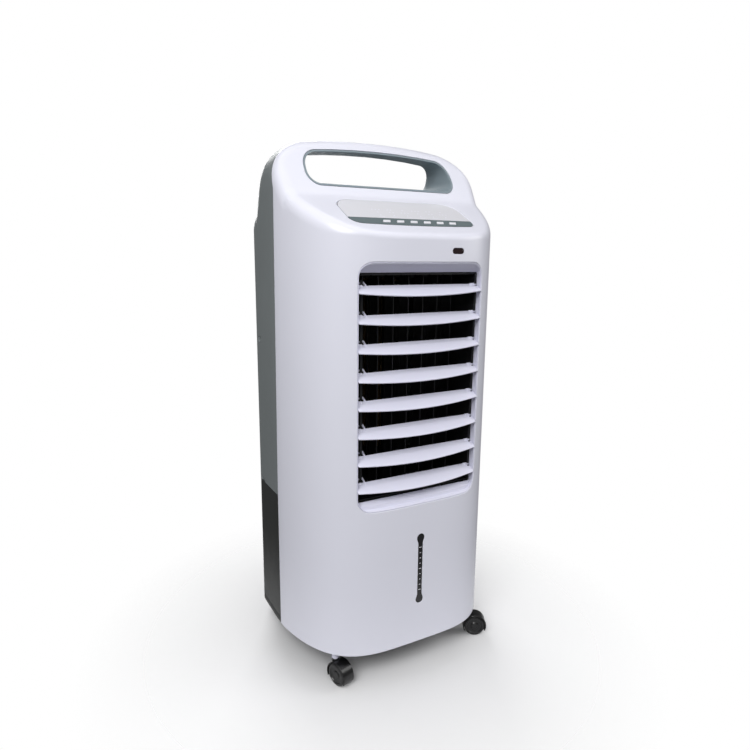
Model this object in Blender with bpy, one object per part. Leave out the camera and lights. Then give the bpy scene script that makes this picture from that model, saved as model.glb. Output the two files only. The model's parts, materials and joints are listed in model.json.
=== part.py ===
"""Evaporative air cooler: a slim tower on four casters, with a carrying handle through its top.

Frame: the origin is on the floor under the middle of the body. +X is right as seen from the
front, +Y runs to the back and +Z is up. Every length is in metres and every angle in degrees.
"""

import math

import bmesh
import bpy
from mathutils import Matrix, Vector

# Fits between pieces
GAP = 0.0003
WALL = 0.0025
RUNNING = 0.0004

# Body outline seen from above: a superellipse for the front, chamfered corners at the back
FRONT_Y = -0.130
BACK_Y = 0.130
SEAM_Y = -0.005
SEAM_LINE = [(-0.005, 0.25), (-0.0115, 0.635), (0.003, 0.677), (0.014, 0.6905), (0.0165, 0.699)]
FRONT_HALF_WIDTH = 0.1591
FRONT_DEPTH = 0.3477
FRONT_POWER = 3.949
SIDE_X = 0.1512
SIDE_END_Y = 0.070
BACK_HALF_WIDTH = 0.108
BACK_CORNER_RADIUS = 0.020

# Body heights and the slopes of its top
BODY_Z = 0.042
TOP_Z = 0.704
SHOULDER_Z = 0.580
SLOPE_ANGLE = 27.7
CREST_RADIUS = 0.065
CREST_DROP_Z = 0.6872

# Rear lower skin
BASE_TOP_Z = 0.051
TANK_TOP_Z = 0.2345
TANK_FRONT_TOP_Z = 0.212
TANK_FLOOR_Z = 0.054

# Handle opening
HOLE_HALF_WIDTH = 0.110
HOLE_REAR_HALF_WIDTH = 0.104
HOLE_BOTTOM_Z = 0.6425
HOLE_TOP_Z = 0.6875
HOLE_ARCH = 0.006
LINER_WALL = 0.0028

# Air outlet: recess, louvres and vanes
OUTLET_HALF_WIDTH = 0.0895
OUTLET_BOTTOM_Z = 0.240
OUTLET_TOP_Z = 0.548
OUTLET_RADIUS = 0.018
THROAT_HALF_WIDTH = 0.0885
THROAT_BOTTOM_Z = 0.2505
THROAT_TOP_Z = 0.5355
THROAT_RADIUS = 0.006
THROAT_Y = -0.1115
BEZEL_WALL = 0.0022
LOUVRE_COUNT = 8
LOUVRE_PITCH = 0.035
LOUVRE_AXIS_Y = -0.1100
LOUVRE_TOP_Z = 0.519
LOUVRE_TILT = 30.0
LOUVRE_HALF_WIDTH = 0.0882
LOUVRE_REAR_HALF_WIDTH = 0.0845
LOUVRE_CHORD_MID = 0.0222
LOUVRE_CHORD_END = 0.0145
LOUVRE_NOTCH = 0.0042
LOUVRE_THICKNESS = 0.0018
LOUVRE_CRANK = 0.008
LOUVRE_LINK_X = -0.077
VANE_COUNT = 7
VANE_PITCH = 0.022
VANE_AXIS_Y = -0.068
VANE_CHORD = 0.019
VANE_CRANK = 0.012
VANE_BOTTOM_Z = 0.2565
VANE_TOP_Z = 0.5305
VANE_LINK_Z = 0.2510
SWING_MOTOR = (0.050, -0.079)
PIN_RADIUS = 0.0012

# Fan
FAN_Y = 0.010
FAN_RADIUS = 0.046
FAN_BOTTOM_Z = 0.262
FAN_TOP_Z = 0.518
FAN_BLADES = 20
SHAFT_RADIUS = 0.004
HOUSING_BOTTOM_Z = 0.2475
HOUSING_TOP_Z = 0.5275

# Wet section
PAD_HALF_WIDTH = 0.086
PAD_Y = (0.080, 0.106)
PAD_Z = (0.2505, 0.5480)
RISER_X = 0.105
RISER_Y = 0.093
PUMP_X = 0.092
PUMP_Y = 0.080
INTAKE_HALF_WIDTH = 0.0985
INTAKE_Z = (0.262, 0.560)

# Rail under the air intake: turn latch and cord gland
LATCH_Z = 0.2450
LATCH_POCKET_RADIUS = 0.0187
GLAND_X = -0.075

# Drain plug in the tank's rear wall, as (x, z)
DRAIN_PLACE = (0.058, 0.066)

# Windows in the front, as (x, z)
LENS_CENTRE = (0.0445, 0.5615)
LENS_HALF_LENGTH = 0.005
LENS_RADIUS = 0.0035
LEVEL_Z = (0.0986, 0.198)

# Control panel, in the plane of the front slope: u across, v up the slope from the shoulder
PANEL_HALF_WIDTH = 0.089
PANEL_V = (0.0270, 0.0930)
PANEL_BOW = 0.003
PANEL_RADIUS = 0.024
STRIP_V = 0.0425
BUTTON_COUNT = 6
BUTTON_FIRST_U = -0.0405
BUTTON_PITCH = 0.0192
BUTTON_V = 0.0338
BUTTON_SIZE = (0.0100, 0.0052)

# Casters
CASTER_STEMS = {"fl": (-0.109, -0.097), "fr": (0.109, -0.097), "rl": (-0.109, 0.088), "rr": (0.109, 0.088)}
CASTER_TURNS = {"fl": -73.9, "fr": -28.9, "rl": 118.0, "rr": 62.0}
WHEEL_RADIUS = 0.015
CASTER_TRAIL = 0.010
HOOD_RADIUS = 0.0172
WHEEL_FACES = (0.0018, 0.0083)
STEM_RADIUS = 0.003
SOCKET_Z = 0.0328
SOCKET_RADIUS = 0.0048
HOOD_WALL = 0.0015

AXIS_ORDER = {"X": (1, 2, 0), "Y": (0, 2, 1), "Z": (0, 1, 2)}


# ---------------------------------------------------------------- shape tools


def clear_scene():
    for thing in list(bpy.data.objects):
        bpy.data.objects.remove(thing)


def material(name, colour, roughness, metallic=0.0):
    made = bpy.data.materials.new(name)
    made.use_nodes = True
    shader = made.node_tree.nodes["Principled BSDF"]
    shader.inputs["Base Color"].default_value = (*colour, 1.0)
    shader.inputs["Roughness"].default_value = roughness
    shader.inputs["Metallic"].default_value = metallic
    return made


def solid(bm, name="piece"):
    """Links the bmesh as an object whose faces point outwards."""
    bmesh.ops.recalc_face_normals(bm, faces=bm.faces)
    mesh = bpy.data.meshes.new(name)
    bm.to_mesh(mesh)
    bm.free()
    made = bpy.data.objects.new(name, mesh)
    bpy.context.scene.collection.objects.link(made)
    return made


def placed(axis, flat, height):
    """The 3-D point of a flat outline point, for an outline drawn across the named axis."""
    order = AXIS_ORDER[axis]
    point = [0.0, 0.0, 0.0]
    point[order[0]], point[order[1]], point[order[2]] = flat[0], flat[1], height
    return point


def prism(outline, low, high, axis="Z"):
    """An outline extruded along an axis from low to high."""
    bm = bmesh.new()
    ring = [bm.verts.new(placed(axis, flat, low)) for flat in outline]
    face = bm.faces.new(ring)
    grown = bmesh.ops.extrude_face_region(bm, geom=[face])["geom"]
    moved = [item for item in grown if isinstance(item, bmesh.types.BMVert)]
    bmesh.ops.translate(bm, verts=moved, vec=Vector(placed(axis, (0, 0), high - low)))
    return solid(bm)


def loft(first, second, low, high, axis="Y"):
    """A closed solid between two outlines that have the same number of points."""
    bm = bmesh.new()
    rings = [
        [bm.verts.new(placed(axis, flat, height)) for flat in outline]
        for outline, height in ((first, low), (second, high))
    ]
    caps = [bm.faces.new(ring) for ring in rings]
    edges = [edge for cap in caps for edge in cap.edges]
    bmesh.ops.bridge_loops(bm, edges=edges)
    return solid(bm)


def box(low, high):
    corners = [(low[0], low[1]), (high[0], low[1]), (high[0], high[1]), (low[0], high[1])]
    return prism(corners, low[2], high[2])


def arc(centre, radius, turns):
    """The points of a circle at the given turns, in degrees."""
    points = []
    for turn in turns:
        angle = math.radians(turn)
        points.append((centre[0] + radius * math.cos(angle), centre[1] + radius * math.sin(angle)))
    return points


def rod(centre, radius, low, high, axis="Z", sides=12):
    turns = [360 * index / sides for index in range(sides)]
    return prism(arc(centre, radius, turns), low, high, axis)


def boolean(target, tool, operation):
    """Applies one exact Boolean to target and removes the tool."""
    modifier = target.modifiers.new(operation.title(), "BOOLEAN")
    modifier.operation = operation
    modifier.solver = "EXACT"
    modifier.object = tool
    bpy.context.view_layer.update()
    graph = bpy.context.evaluated_depsgraph_get()
    result = bpy.data.meshes.new_from_object(target.evaluated_get(graph))
    target.modifiers.remove(modifier)
    spent = target.data
    target.data = result
    bpy.data.meshes.remove(spent)
    bpy.data.objects.remove(tool)
    return target


def cut(target, *tools):
    for tool in tools:
        boolean(target, tool, "DIFFERENCE")
    return target


def join(target, *tools):
    for tool in tools:
        boolean(target, tool, "UNION")
    return target


def common(target, *tools):
    for tool in tools:
        boolean(target, tool, "INTERSECT")
    return target


def moved(piece, shift=(0, 0, 0), turn=0.0, about="Z"):
    """Turns a piece about the origin, shifts it and keeps the result in its mesh."""
    piece.data.transform(Matrix.Translation(shift) @ Matrix.Rotation(math.radians(turn), 4, about))
    return piece


def filleted(points, radii, step=15.0):
    """A closed outline with its corners rounded, one facet for each step of turn."""
    outline = []
    count = len(points)
    for index, radius in enumerate(radii):
        corner = Vector(points[index])
        before = (Vector(points[index - 1]) - corner).normalized()
        after = (Vector(points[(index + 1) % count]) - corner).normalized()
        if radius == 0:
            outline.append(tuple(corner))
            continue
        half = before.angle(after) / 2
        centre = corner + (before + after).normalized() * radius / math.sin(half)
        start = corner + before * radius / math.tan(half) - centre
        end = corner + after * radius / math.tan(half) - centre
        sweep = start.angle_signed(end)
        parts = max(2, round(math.degrees(abs(sweep)) / step))
        for part in range(parts + 1):
            spoke = Matrix.Rotation(-sweep * part / parts, 2) @ start
            outline.append(tuple(centre + spoke))
    return outline


def inset(outline, distance):
    """The outline moved inwards by a distance. Its points run anticlockwise."""
    if distance == 0:
        return outline
    count = len(outline)
    result = []
    for index in range(count):
        here = Vector(outline[index])
        into = (here - Vector(outline[index - 1])).normalized()
        out = (Vector(outline[(index + 1) % count]) - here).normalized()
        normal = Vector((-into.y - out.y, into.x + out.x)).normalized()
        stretch = 1 / max(0.2, normal.dot(Vector((-into.y, into.x))))
        result.append(tuple(here + normal * distance * stretch))
    return result


def mirrored(right):
    """A closed anticlockwise outline from its right half, listed from the bottom to the top."""
    left = [(-x, y) for x, y in reversed(right) if abs(x) > 1e-9]
    return right + left


def rounded_rectangle(half_width, low, high, radius, step=18.0):
    corners = [(-half_width, low), (half_width, low), (half_width, high), (-half_width, high)]
    return filleted(corners, [radius] * 4, step)


# ---------------------------------------------------------------- body form


def front_curve(turn):
    """A point of the front outline; turn is 0 at the middle of the front."""
    power = 2 / FRONT_POWER
    x = FRONT_HALF_WIDTH * math.sin(turn) ** power
    y = FRONT_Y + FRONT_DEPTH * (1 - math.cos(turn) ** power)
    return x, y


def seam_turn():
    share = 1 - (SEAM_Y - FRONT_Y) / FRONT_DEPTH
    return math.acos(share ** (FRONT_POWER / 2))


def plan_outline(distance=0.0, facets=12):
    """The body seen from above, moved inwards by a distance."""
    last = seam_turn()
    front = [front_curve(last * index / facets) for index in range(facets + 1)]
    seam_x = front[-1][0]
    corners = [(0, BACK_Y), (0, FRONT_Y), (seam_x, SEAM_Y), (SIDE_X, SIDE_END_Y), (BACK_HALF_WIDTH, BACK_Y)]
    radii = [0, 0, 0, BACK_CORNER_RADIUS, BACK_CORNER_RADIUS]
    back = filleted(corners, radii, 12.0)[3:]
    return inset(mirrored(front + back), distance)


def slope_point(v, n=0.0, x=0.0):
    """A point on the front slope: v up the slope from the shoulder, n out of it."""
    angle = math.radians(SLOPE_ANGLE)
    y = FRONT_Y + v * math.cos(angle) - n * math.sin(angle)
    z = SHOULDER_Z + v * math.sin(angle) + n * math.cos(angle)
    return Vector((x, y, z))


def profile_outline(distance=0.0):
    """The body seen from the side, as (y, z), reaching below the floor."""
    bend = slope_point(0.1040)
    corners = [
        (FRONT_Y, -0.1),
        (BACK_Y, -0.1),
        (BACK_Y, 0.580),
        (0.062, 0.6085),
        (0.0263, 0.7062),
        (0.0135, 0.7062),
        (bend.y, bend.z),
        (FRONT_Y, SHOULDER_Z),
    ]
    radii = [0, 0, 0.012, 0.030, 0.007, 0.007, 0.030, 0.010]
    return inset(filleted(corners, radii), distance)


def crest_outline(distance=0.0):
    """The body seen from the front, as (x, z): a crowned top between rounded shoulders."""
    wide = 0.156
    side = 0.101
    drop = 0.0075
    radius = (side**2 + drop**2) / (2 * drop)
    reach = math.asin(side / radius)
    crown = []
    for index in range(5):
        turn = reach * index / 4
        crown.append((radius * math.sin(turn), TOP_Z - radius * (1 - math.cos(turn))))
    shoulder = filleted([(0, -0.1), (wide, -0.1), (wide, CREST_DROP_Z), crown[-1]], [0, 0, CREST_RADIUS, 0])
    right = shoulder[:-1] + list(reversed(crown))[1:]
    return inset(mirrored(right), distance)


def body_form(distance, low, high=0.75):
    """The whole outer shape, moved inwards by a distance, between two heights."""
    form = prism(plan_outline(distance), low, high)
    form = common(form, prism(profile_outline(distance), -0.2, 0.2, "X"))
    return common(form, prism(crest_outline(distance), -0.2, 0.2, "Y"))


def before_seam(shift=0.0):
    """Everything in front of the seam: upright on the sides, then back over the crest of the handle."""
    line = [(SEAM_Y, -0.1)] + SEAM_LINE + [(SEAM_LINE[-1][0], 0.8)]
    return prism([(-0.3, -0.1)] + [(y + shift, z) for y, z in line] + [(-0.3, 0.8)], -0.2, 0.2, "X")


def behind_seam(shift=GAP + 0.0001):
    line = [(SEAM_Y, -0.1)] + SEAM_LINE + [(SEAM_LINE[-1][0], 0.8)]
    return prism([(y + shift, z) for y, z in line] + [(0.3, 0.8), (0.3, -0.1)], -0.2, 0.2, "X")


# ---------------------------------------------------------------- shared outlines


def hole_outline(half_width, grow=0.0):
    """The handle opening as (x, z): a flat bottom, round ends and an arched top."""
    low = HOLE_BOTTOM_Z - grow
    end = half_width + grow
    top = HOLE_TOP_Z - HOLE_ARCH + grow
    arch = [(end * 0.60 * side, HOLE_TOP_Z + grow - HOLE_ARCH * 0.36) for side in (1, -1)]
    corners = [(-end, low), (end, low), (end, top), arch[0], (0, HOLE_TOP_Z + grow), arch[1], (-end, top)]
    radii = [0.016 + grow, 0.016 + grow, 0.020 + grow, 0, 0, 0, 0.020 + grow]
    return filleted(corners, radii, 22.0)


def panel_outline(grow=0.0):
    """The control panel as (u, v) in the plane of the slope: an oblong with a bowed lower edge."""
    low, high = PANEL_V
    half = PANEL_HALF_WIDTH + grow
    corners = [
        (-half, low - grow),
        (0, low - PANEL_BOW - grow),
        (half, low - grow),
        (half, high + grow),
        (-half, high + grow),
    ]
    radii = [PANEL_RADIUS * 0.75, 0, PANEL_RADIUS * 0.75, PANEL_RADIUS, PANEL_RADIUS]
    return filleted(corners, radii)


def on_slope(piece):
    """Lays a piece drawn in slope axes (u, v, n) on the front slope."""
    leaning = Matrix.Rotation(math.radians(SLOPE_ANGLE), 4, "X")
    piece.data.transform(Matrix.Translation(slope_point(0)) @ leaning)
    return piece


def bone_outline(grow=0.0):
    """The water window as (x, z): a slim slot with wider round ends."""
    ends = ((LEVEL_Z[0], 1), (LEVEL_Z[1], -1))
    half, waist = 0.0055 + grow, 0.0034 + grow
    right = []
    for end, inward in ends:
        tip, body = end - inward * grow, end + inward * 0.014
        side = [
            (0.0, tip),
            (half * 0.72, tip + inward * 0.0015),
            (half, tip + inward * 0.006),
            (waist, body),
        ]
        right += side if inward > 0 else side[::-1]
    return mirrored(right)


def lens_outline(grow=0.0):
    """The infrared window as (x, z): a short slot with round ends."""
    x, z = LENS_CENTRE
    right = arc((x + LENS_HALF_LENGTH, z), LENS_RADIUS + grow, range(-90, 91, 30))
    left = arc((x - LENS_HALF_LENGTH, z), LENS_RADIUS + grow, range(90, 271, 30))
    return right + left


def strip(points, thickness):
    """A thin closed outline that follows a line of points."""
    sides = ([], [])
    for index, point in enumerate(points):
        here = Vector(point)
        ahead = Vector(points[min(index + 1, len(points) - 1)])
        behind = Vector(points[max(index - 1, 0)])
        along = (ahead - behind).normalized()
        across = Vector((-along.y, along.x)) * thickness / 2
        sides[0].append(tuple(here - across))
        sides[1].append(tuple(here + across))
    return sides[0] + sides[1][::-1]


# ---------------------------------------------------------------- finishing


def finish(piece, name, look, origin=(0, 0, 0), parent=None):
    """Names a piece, gives it its material, puts its origin on its axis and shades it."""
    origin = Vector(origin)
    piece.data.transform(Matrix.Translation(-origin))
    piece.name = name
    piece.data.name = name
    piece.data.materials.clear()
    piece.data.materials.append(look)
    piece.data.shade_smooth()
    piece.data.set_sharp_from_angle(angle=math.radians(28))
    piece.location = origin
    if parent:
        piece.parent = parent
        piece.location = origin - parent.location
    return piece


def copy_of(piece, name, location, parent=None):
    """Another object that shares a piece's mesh."""
    twin = piece.copy()
    twin.name = name
    bpy.context.scene.collection.objects.link(twin)
    twin.location = location
    twin.parent = parent
    return twin


# ---------------------------------------------------------------- shells


def make_front_shell(look):
    shell = common(cut(body_form(0, BODY_Z), body_form(WALL, -0.05)), before_seam())
    outlet = rounded_rectangle(OUTLET_HALF_WIDTH, OUTLET_BOTTOM_Z, OUTLET_TOP_Z, OUTLET_RADIUS)
    cut(shell, prism(outlet, -0.2, -0.08, "Y"))
    cut(shell, prism(bone_outline(GAP), -0.2, -0.08, "Y"))
    cut(shell, prism(lens_outline(GAP), -0.2, -0.08, "Y"))
    cut(shell, on_slope(prism(panel_outline(RUNNING), -0.008, 0.008)))
    cut(shell, handle_plug(GAP))
    return finish(shell, "front_shell", look)


def handle_plug(grow):
    """The space that the handle liner takes, tapering slightly to the back."""
    front = hole_outline(HOLE_HALF_WIDTH, LINER_WALL + grow)
    rear = hole_outline(HOLE_REAR_HALF_WIDTH, LINER_WALL + grow)
    return loft(front, rear, -0.06, 0.09)


def make_handle_liner(look):
    liner = common(handle_plug(0), body_form(GAP, 0.5))
    front = hole_outline(HOLE_HALF_WIDTH)
    rear = hole_outline(HOLE_REAR_HALF_WIDTH)
    return finish(cut(liner, loft(front, rear, -0.06, 0.09)), "handle_liner", look)


def make_rear_shell(look):
    low = TANK_TOP_Z + 0.0005
    shell = common(cut(body_form(0, low), body_form(WALL, -0.05)), behind_seam())
    outline = rounded_rectangle(INTAKE_HALF_WIDTH, *INTAKE_Z, 0.008)
    cut(shell, prism(outline, 0.11, 0.2, "Y"))
    cut(shell, handle_plug(GAP))
    # A shelf under the wet pad, slotted so that spare water drips back into the tank
    shelf = box((-0.140, 0.074, HOUSING_BOTTOM_Z), (0.140, 0.1285, 0.2500))
    common(shelf, prism(plan_outline(WALL / 2), 0.2, 0.3))
    cut(shelf, box((-0.070, 0.086, 0.24), (0.070, 0.100, 0.26)))
    cut(shelf, rod((RISER_X, RISER_Y), 0.0052, 0.24, 0.26))
    join(shell, shelf)
    # The rail below the air intake is thicker where the turn latch and the cord gland sit
    join(shell, box((-0.088, 0.122, low), (0.026, 0.1285, HOUSING_BOTTOM_Z + 0.001)))
    cut(shell, box((-0.024, 0.1255, 0.2), (0.024, 0.2, 0.2530)))
    cut(shell, rod((0, LATCH_Z), 0.0022, 0.11, 0.2, "Y"))
    cut(shell, rod((GLAND_X, LATCH_Z), 0.0058, 0.11, 0.2, "Y"))
    for side in (-1, 1):
        # Finger notch of the air intake's catch
        notch = box((0.1497, 0.048, 0.4375), (0.2, 0.060, 0.4450))
        if side < 0:
            moved(notch, turn=180)
            moved(notch, (0, 0.108, 0))
        cut(shell, notch)
    return finish(shell, "rear_shell", look)


def make_base_plate(look):
    plate = prism(plan_outline(WALL + GAP), 0.0435, BASE_TOP_Z)
    skirt = common(prism(plan_outline(), BODY_Z, BASE_TOP_Z), behind_seam())
    join(plate, skirt)
    for x, y in CASTER_STEMS.values():
        join(plate, rod((x, y), SOCKET_RADIUS, SOCKET_Z, 0.047, sides=10))
    for x, y in CASTER_STEMS.values():
        cut(plate, rod((x, y), STEM_RADIUS + RUNNING, 0.0, 0.0492))
    return finish(plate, "base_plate", look)


# ---------------------------------------------------------------- air outlet


def make_bezel(look):
    """The recess: its walls draw in from the front opening to the throat."""
    near = rounded_rectangle(OUTLET_HALF_WIDTH, OUTLET_BOTTOM_Z, OUTLET_TOP_Z, OUTLET_RADIUS)
    far = rounded_rectangle(THROAT_HALF_WIDTH, THROAT_BOTTOM_Z, THROAT_TOP_Z, THROAT_RADIUS)
    start = FRONT_Y - 0.002
    bezel = loft(inset(near, -BEZEL_WALL), inset(far, -BEZEL_WALL), start, THROAT_Y)
    cut(bezel, loft(near, far, start - 1e-4, THROAT_Y + 1e-4))
    common(bezel, prism(plan_outline(WALL + GAP), 0.2, 0.6))
    return finish(bezel, "grille_bezel", look)


def louvre_blank():
    """One blade about its pivot at the origin: +X along the pivot, -Y to the bowed front edge.

    Its rear corners are notched, so that it turns between the cheeks that hold its pins.
    """
    bow = LOUVRE_CHORD_MID - LOUVRE_CHORD_END
    half = LOUVRE_HALF_WIDTH
    shares = [index / 4 - 1 for index in range(9)]
    front = [(half * share, -LOUVRE_CHORD_END - bow * (1 - share * share)) for share in shares]
    right = [(half, -LOUVRE_NOTCH), (LOUVRE_REAR_HALF_WIDTH, -LOUVRE_NOTCH), (LOUVRE_REAR_HALF_WIDTH, 0.002)]
    outline = front + right + [(-x, y) for x, y in reversed(right)]
    blade = prism(outline, -LOUVRE_THICKNESS / 2, LOUVRE_THICKNESS / 2)
    pin = rod((0, 0), 0.0016, -0.0880, 0.0880, "X", 8)
    lug = box((-0.0740, -0.003, -0.0012), (-0.0724, LOUVRE_CRANK + 0.0018, 0.0012))
    crank = rod((LOUVRE_CRANK, 0), PIN_RADIUS, LOUVRE_LINK_X - 0.0022, -0.0732, "X", 8)
    return join(blade, pin, lug, crank)


def louvre_place(index):
    return Vector((0, LOUVRE_AXIS_Y, LOUVRE_TOP_Z - LOUVRE_PITCH * index))


def crank_place(index):
    tilt = math.radians(LOUVRE_TILT)
    return louvre_place(index) + LOUVRE_CRANK * Vector((0, math.cos(tilt), math.sin(tilt)))


def make_louvres(look):
    blade = finish(louvre_blank(), "louvre_1", look)
    blade.location = louvre_place(0)
    blade.rotation_euler.x = math.radians(LOUVRE_TILT)
    for index in range(1, LOUVRE_COUNT):
        copy_of(blade, f"louvre_{index + 1}", louvre_place(index))
    return blade


def make_louvre_link(look):
    """A flat bar that ties the blades' cranks together."""
    top, bottom = crank_place(0), crank_place(LOUVRE_COUNT - 1)
    half_x, half_y, over = 0.0015, 0.0026, 0.0035
    low = (LOUVRE_LINK_X - half_x, top.y - half_y, bottom.z - over)
    bar = box(low, (LOUVRE_LINK_X + half_x, top.y + half_y, top.z + over))
    for index in range(LOUVRE_COUNT):
        place = crank_place(index)
        cut(bar, rod((place.y, place.z), PIN_RADIUS + RUNNING, -0.1, 0, "X", 8))
    return finish(bar, "louvre_link", look, top)


def make_vanes(look):
    """Upright blades that swing from side to side, each about its own pin."""
    blade = prism(strip([(0, -VANE_CHORD), (0, 0.003)], 0.0014), VANE_BOTTOM_Z, VANE_TOP_Z)
    pivot = rod((0, 0), PIN_RADIUS, VANE_BOTTOM_Z - 0.0048, VANE_TOP_Z + 0.0048, sides=8)
    crank = rod((0, -VANE_CRANK), PIN_RADIUS, VANE_LINK_Z + 0.0004, VANE_BOTTOM_Z + 0.001, sides=8)
    first = finish(join(blade, pivot, crank), "vane_1", look)
    first.location = vane_place(0)
    for index in range(1, VANE_COUNT):
        copy_of(first, f"vane_{index + 1}", vane_place(index))
    return first


def vane_place(index):
    return Vector((VANE_PITCH * (index - (VANE_COUNT - 1) / 2), VANE_AXIS_Y, 0))


def make_vane_link(look):
    y = VANE_AXIS_Y - VANE_CRANK
    bar = box((-0.071, y - 0.0033, VANE_LINK_Z), (0.071, y + 0.0033, VANE_LINK_Z + 0.003))
    for index in range(VANE_COUNT):
        place = vane_place(index)
        cut(bar, rod((place.x, y), PIN_RADIUS + RUNNING, 0.24, 0.26, sides=8))
    return finish(bar, "vane_link", look, (vane_place(0).x, y, VANE_LINK_Z))


def make_vane_frame(look):
    """A duct behind the bezel: its cheeks hold the louvres' pins, its two rails the vanes' pins.

    A shelf for the swing motor hangs under it.
    """
    low, high = 0.2515, 0.5355
    outer, inner = 0.0885, 0.0855
    front, back = THROAT_Y + GAP, -0.0605
    frame = box((-outer, front, low), (-inner, back, high))
    for z in (low, high - 0.003):
        join(frame, box((-outer + 0.001, -0.0725, z), (outer - 0.001, -0.0625, z + 0.003)))
        join(frame, box((-outer + 0.001, front + 0.001, z), (outer - 0.001, -0.0900, z + 0.002)))
    join(frame, box((inner, front, low), (outer, back, high)))
    for index in range(LOUVRE_COUNT):
        place = louvre_place(index)
        cut(frame, rod((place.y, place.z), 0.0020, -0.12, 0.12, "X", 8))
    join(frame, box((0.034, -0.0645, 0.2160), (0.066, -0.0625, 0.2530)))
    join(frame, box((0.034, -0.0940, 0.2160), (0.066, -0.0630, 0.2185)))
    for index in range(VANE_COUNT):
        place = vane_place(index)
        cut(frame, rod((place.x, place.y), PIN_RADIUS + RUNNING, 0.24, 0.56, sides=8))
    return finish(frame, "vane_frame", look)


def make_swing_drive(case_look, crank_look):
    centre = SWING_MOTOR
    finish(rod(centre, 0.0125, 0.2188, 0.2385, sides=20), "swing_motor", case_look)
    crank = rod(centre, 0.0080, 0.2400, 0.2425, sides=16)
    join(crank, rod(centre, 0.0020, 0.2388, 0.2410, sides=8))
    join(crank, rod((centre[0] + 0.0055, centre[1]), 0.0015, 0.2415, 0.2500, sides=8))
    finish(crank, "swing_crank", crank_look, (*centre, 0.24))


# ---------------------------------------------------------------- fan


def make_fan_wheel(look):
    """A cross-flow wheel: a drum of curved blades between discs, on one shaft."""
    wheel = rod((0, 0), FAN_RADIUS, FAN_BOTTOM_Z, FAN_BOTTOM_Z + 0.002, sides=FAN_BLADES)
    inner, outer = FAN_RADIUS - 0.0095, FAN_RADIUS - 0.0015
    for index in range(FAN_BLADES):
        blade = box((inner, -0.0006, FAN_BOTTOM_Z + 0.001), (outer, 0.0006, FAN_TOP_Z - 0.001))
        join(wheel, moved(blade, turn=360 * index / FAN_BLADES))
    join(wheel, rod((0, 0), FAN_RADIUS, FAN_TOP_Z - 0.002, FAN_TOP_Z, sides=FAN_BLADES))
    join(wheel, rod((0, 0), SHAFT_RADIUS, HOUSING_BOTTOM_Z - 0.001, FAN_BOTTOM_Z + 0.001))
    join(wheel, rod((0, 0), SHAFT_RADIUS, FAN_TOP_Z - 0.001, 0.5380))
    return finish(moved(wheel, (0, FAN_Y, 0)), "fan_wheel", look, (0, FAN_Y, 0))


def make_fan_motor(look):
    motor = rod((0, FAN_Y), 0.033, 0.5303, 0.5640, sides=24)
    join(motor, rod((0, FAN_Y), 0.012, 0.5630, 0.5700, sides=16))
    cut(motor, rod((0, FAN_Y), SHAFT_RADIUS + 0.0005, 0.5, 0.5400))
    return finish(motor, "fan_motor", look)


def make_fan_housing(look):
    """Floor and roof plates with a long scroll wall on one side and a short cut-off on the other."""
    scroll = [
        (-0.086, -0.0585),
        (-0.078, -0.035),
        (-0.070, -0.010),
        (-0.066, 0.015),
        (-0.058, 0.040),
        (-0.044, 0.062),
    ]
    cutoff = [(0.086, -0.0585), (0.070, -0.040), (0.058, -0.026), (0.054, -0.014)]
    right = [(0.0875, -0.0595), (0.0875, 0.060), (0.050, 0.072)]
    plate = mirrored(right)
    housing = prism(plate, HOUSING_BOTTOM_Z, HOUSING_BOTTOM_Z + 0.0025)
    join(housing, prism(strip(scroll, 0.002), HOUSING_BOTTOM_Z + 0.001, HOUSING_TOP_Z + 0.001))
    join(housing, prism(strip(cutoff, 0.002), HOUSING_BOTTOM_Z + 0.001, HOUSING_TOP_Z + 0.001))
    join(housing, prism(plate, HOUSING_TOP_Z, HOUSING_TOP_Z + 0.0025))
    cut(housing, rod((0, FAN_Y), SHAFT_RADIUS + 0.0005, 0.2, 0.6))
    return finish(housing, "fan_housing", look)


# ---------------------------------------------------------------- water side


def make_tank(look):
    """A drawer: its rear part is the outer skin, its front part fits inside the front shell."""
    inner = WALL + 0.0012
    tank = common(prism(plan_outline(), BASE_TOP_Z + 0.0005, TANK_TOP_Z), behind_seam())
    front_part = prism(plan_outline(inner), BASE_TOP_Z + 0.0005, TANK_FRONT_TOP_Z)
    join(tank, common(front_part, before_seam(0.015)))
    cut(tank, prism(plan_outline(inner + WALL), TANK_FLOOR_Z, 0.3))
    cut(tank, common(prism(plan_outline(WALL), TANK_FLOOR_Z, 0.3), behind_seam(0.007)))
    # Drain boss, pull grip and latch pocket in the rear wall
    x = DRAIN_PLACE[0]
    join(tank, box((x - 0.012, 0.1190, 0.0530), (x + 0.012, 0.1285, 0.0800)))
    cut(tank, rod(DRAIN_PLACE, 0.0092, 0.1262, 0.2, "Y"))
    cut(tank, rod(DRAIN_PLACE, 0.0052, 0.10, 0.2, "Y"))
    join(tank, box((-0.052, 0.1135, 0.1420), (0.052, 0.1285, 0.1800)))
    cut(tank, prism(rounded_rectangle(0.048, 0.1450, 0.1770, 0.012), 0.1165, 0.2, "Y"))
    join(tank, box((-0.019, 0.1205, 0.2230), (0.019, 0.1285, TANK_TOP_Z)))
    cut(tank, rod((0, LATCH_Z), LATCH_POCKET_RADIUS, 0.1255, 0.2, "Y", 32))
    return finish(tank, "water_tank", look)


def make_tank_latch(look):
    """A turn button, drawn level, which points down over the tank's rim when it is locked."""
    latch = prism(strip([(-0.006, 0), (0.017, 0)], 0.008), 0.1260, 0.1295, "Y")
    join(latch, rod((0, 0), 0.0062, 0.1260, 0.1297, "Y", 16))
    join(latch, rod((0, 0), 0.0018, 0.1190, 0.1265, "Y", 8))
    return finish(moved(latch, (0, 0, LATCH_Z)), "tank_latch", look, (0, 0.1260, LATCH_Z))


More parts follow.
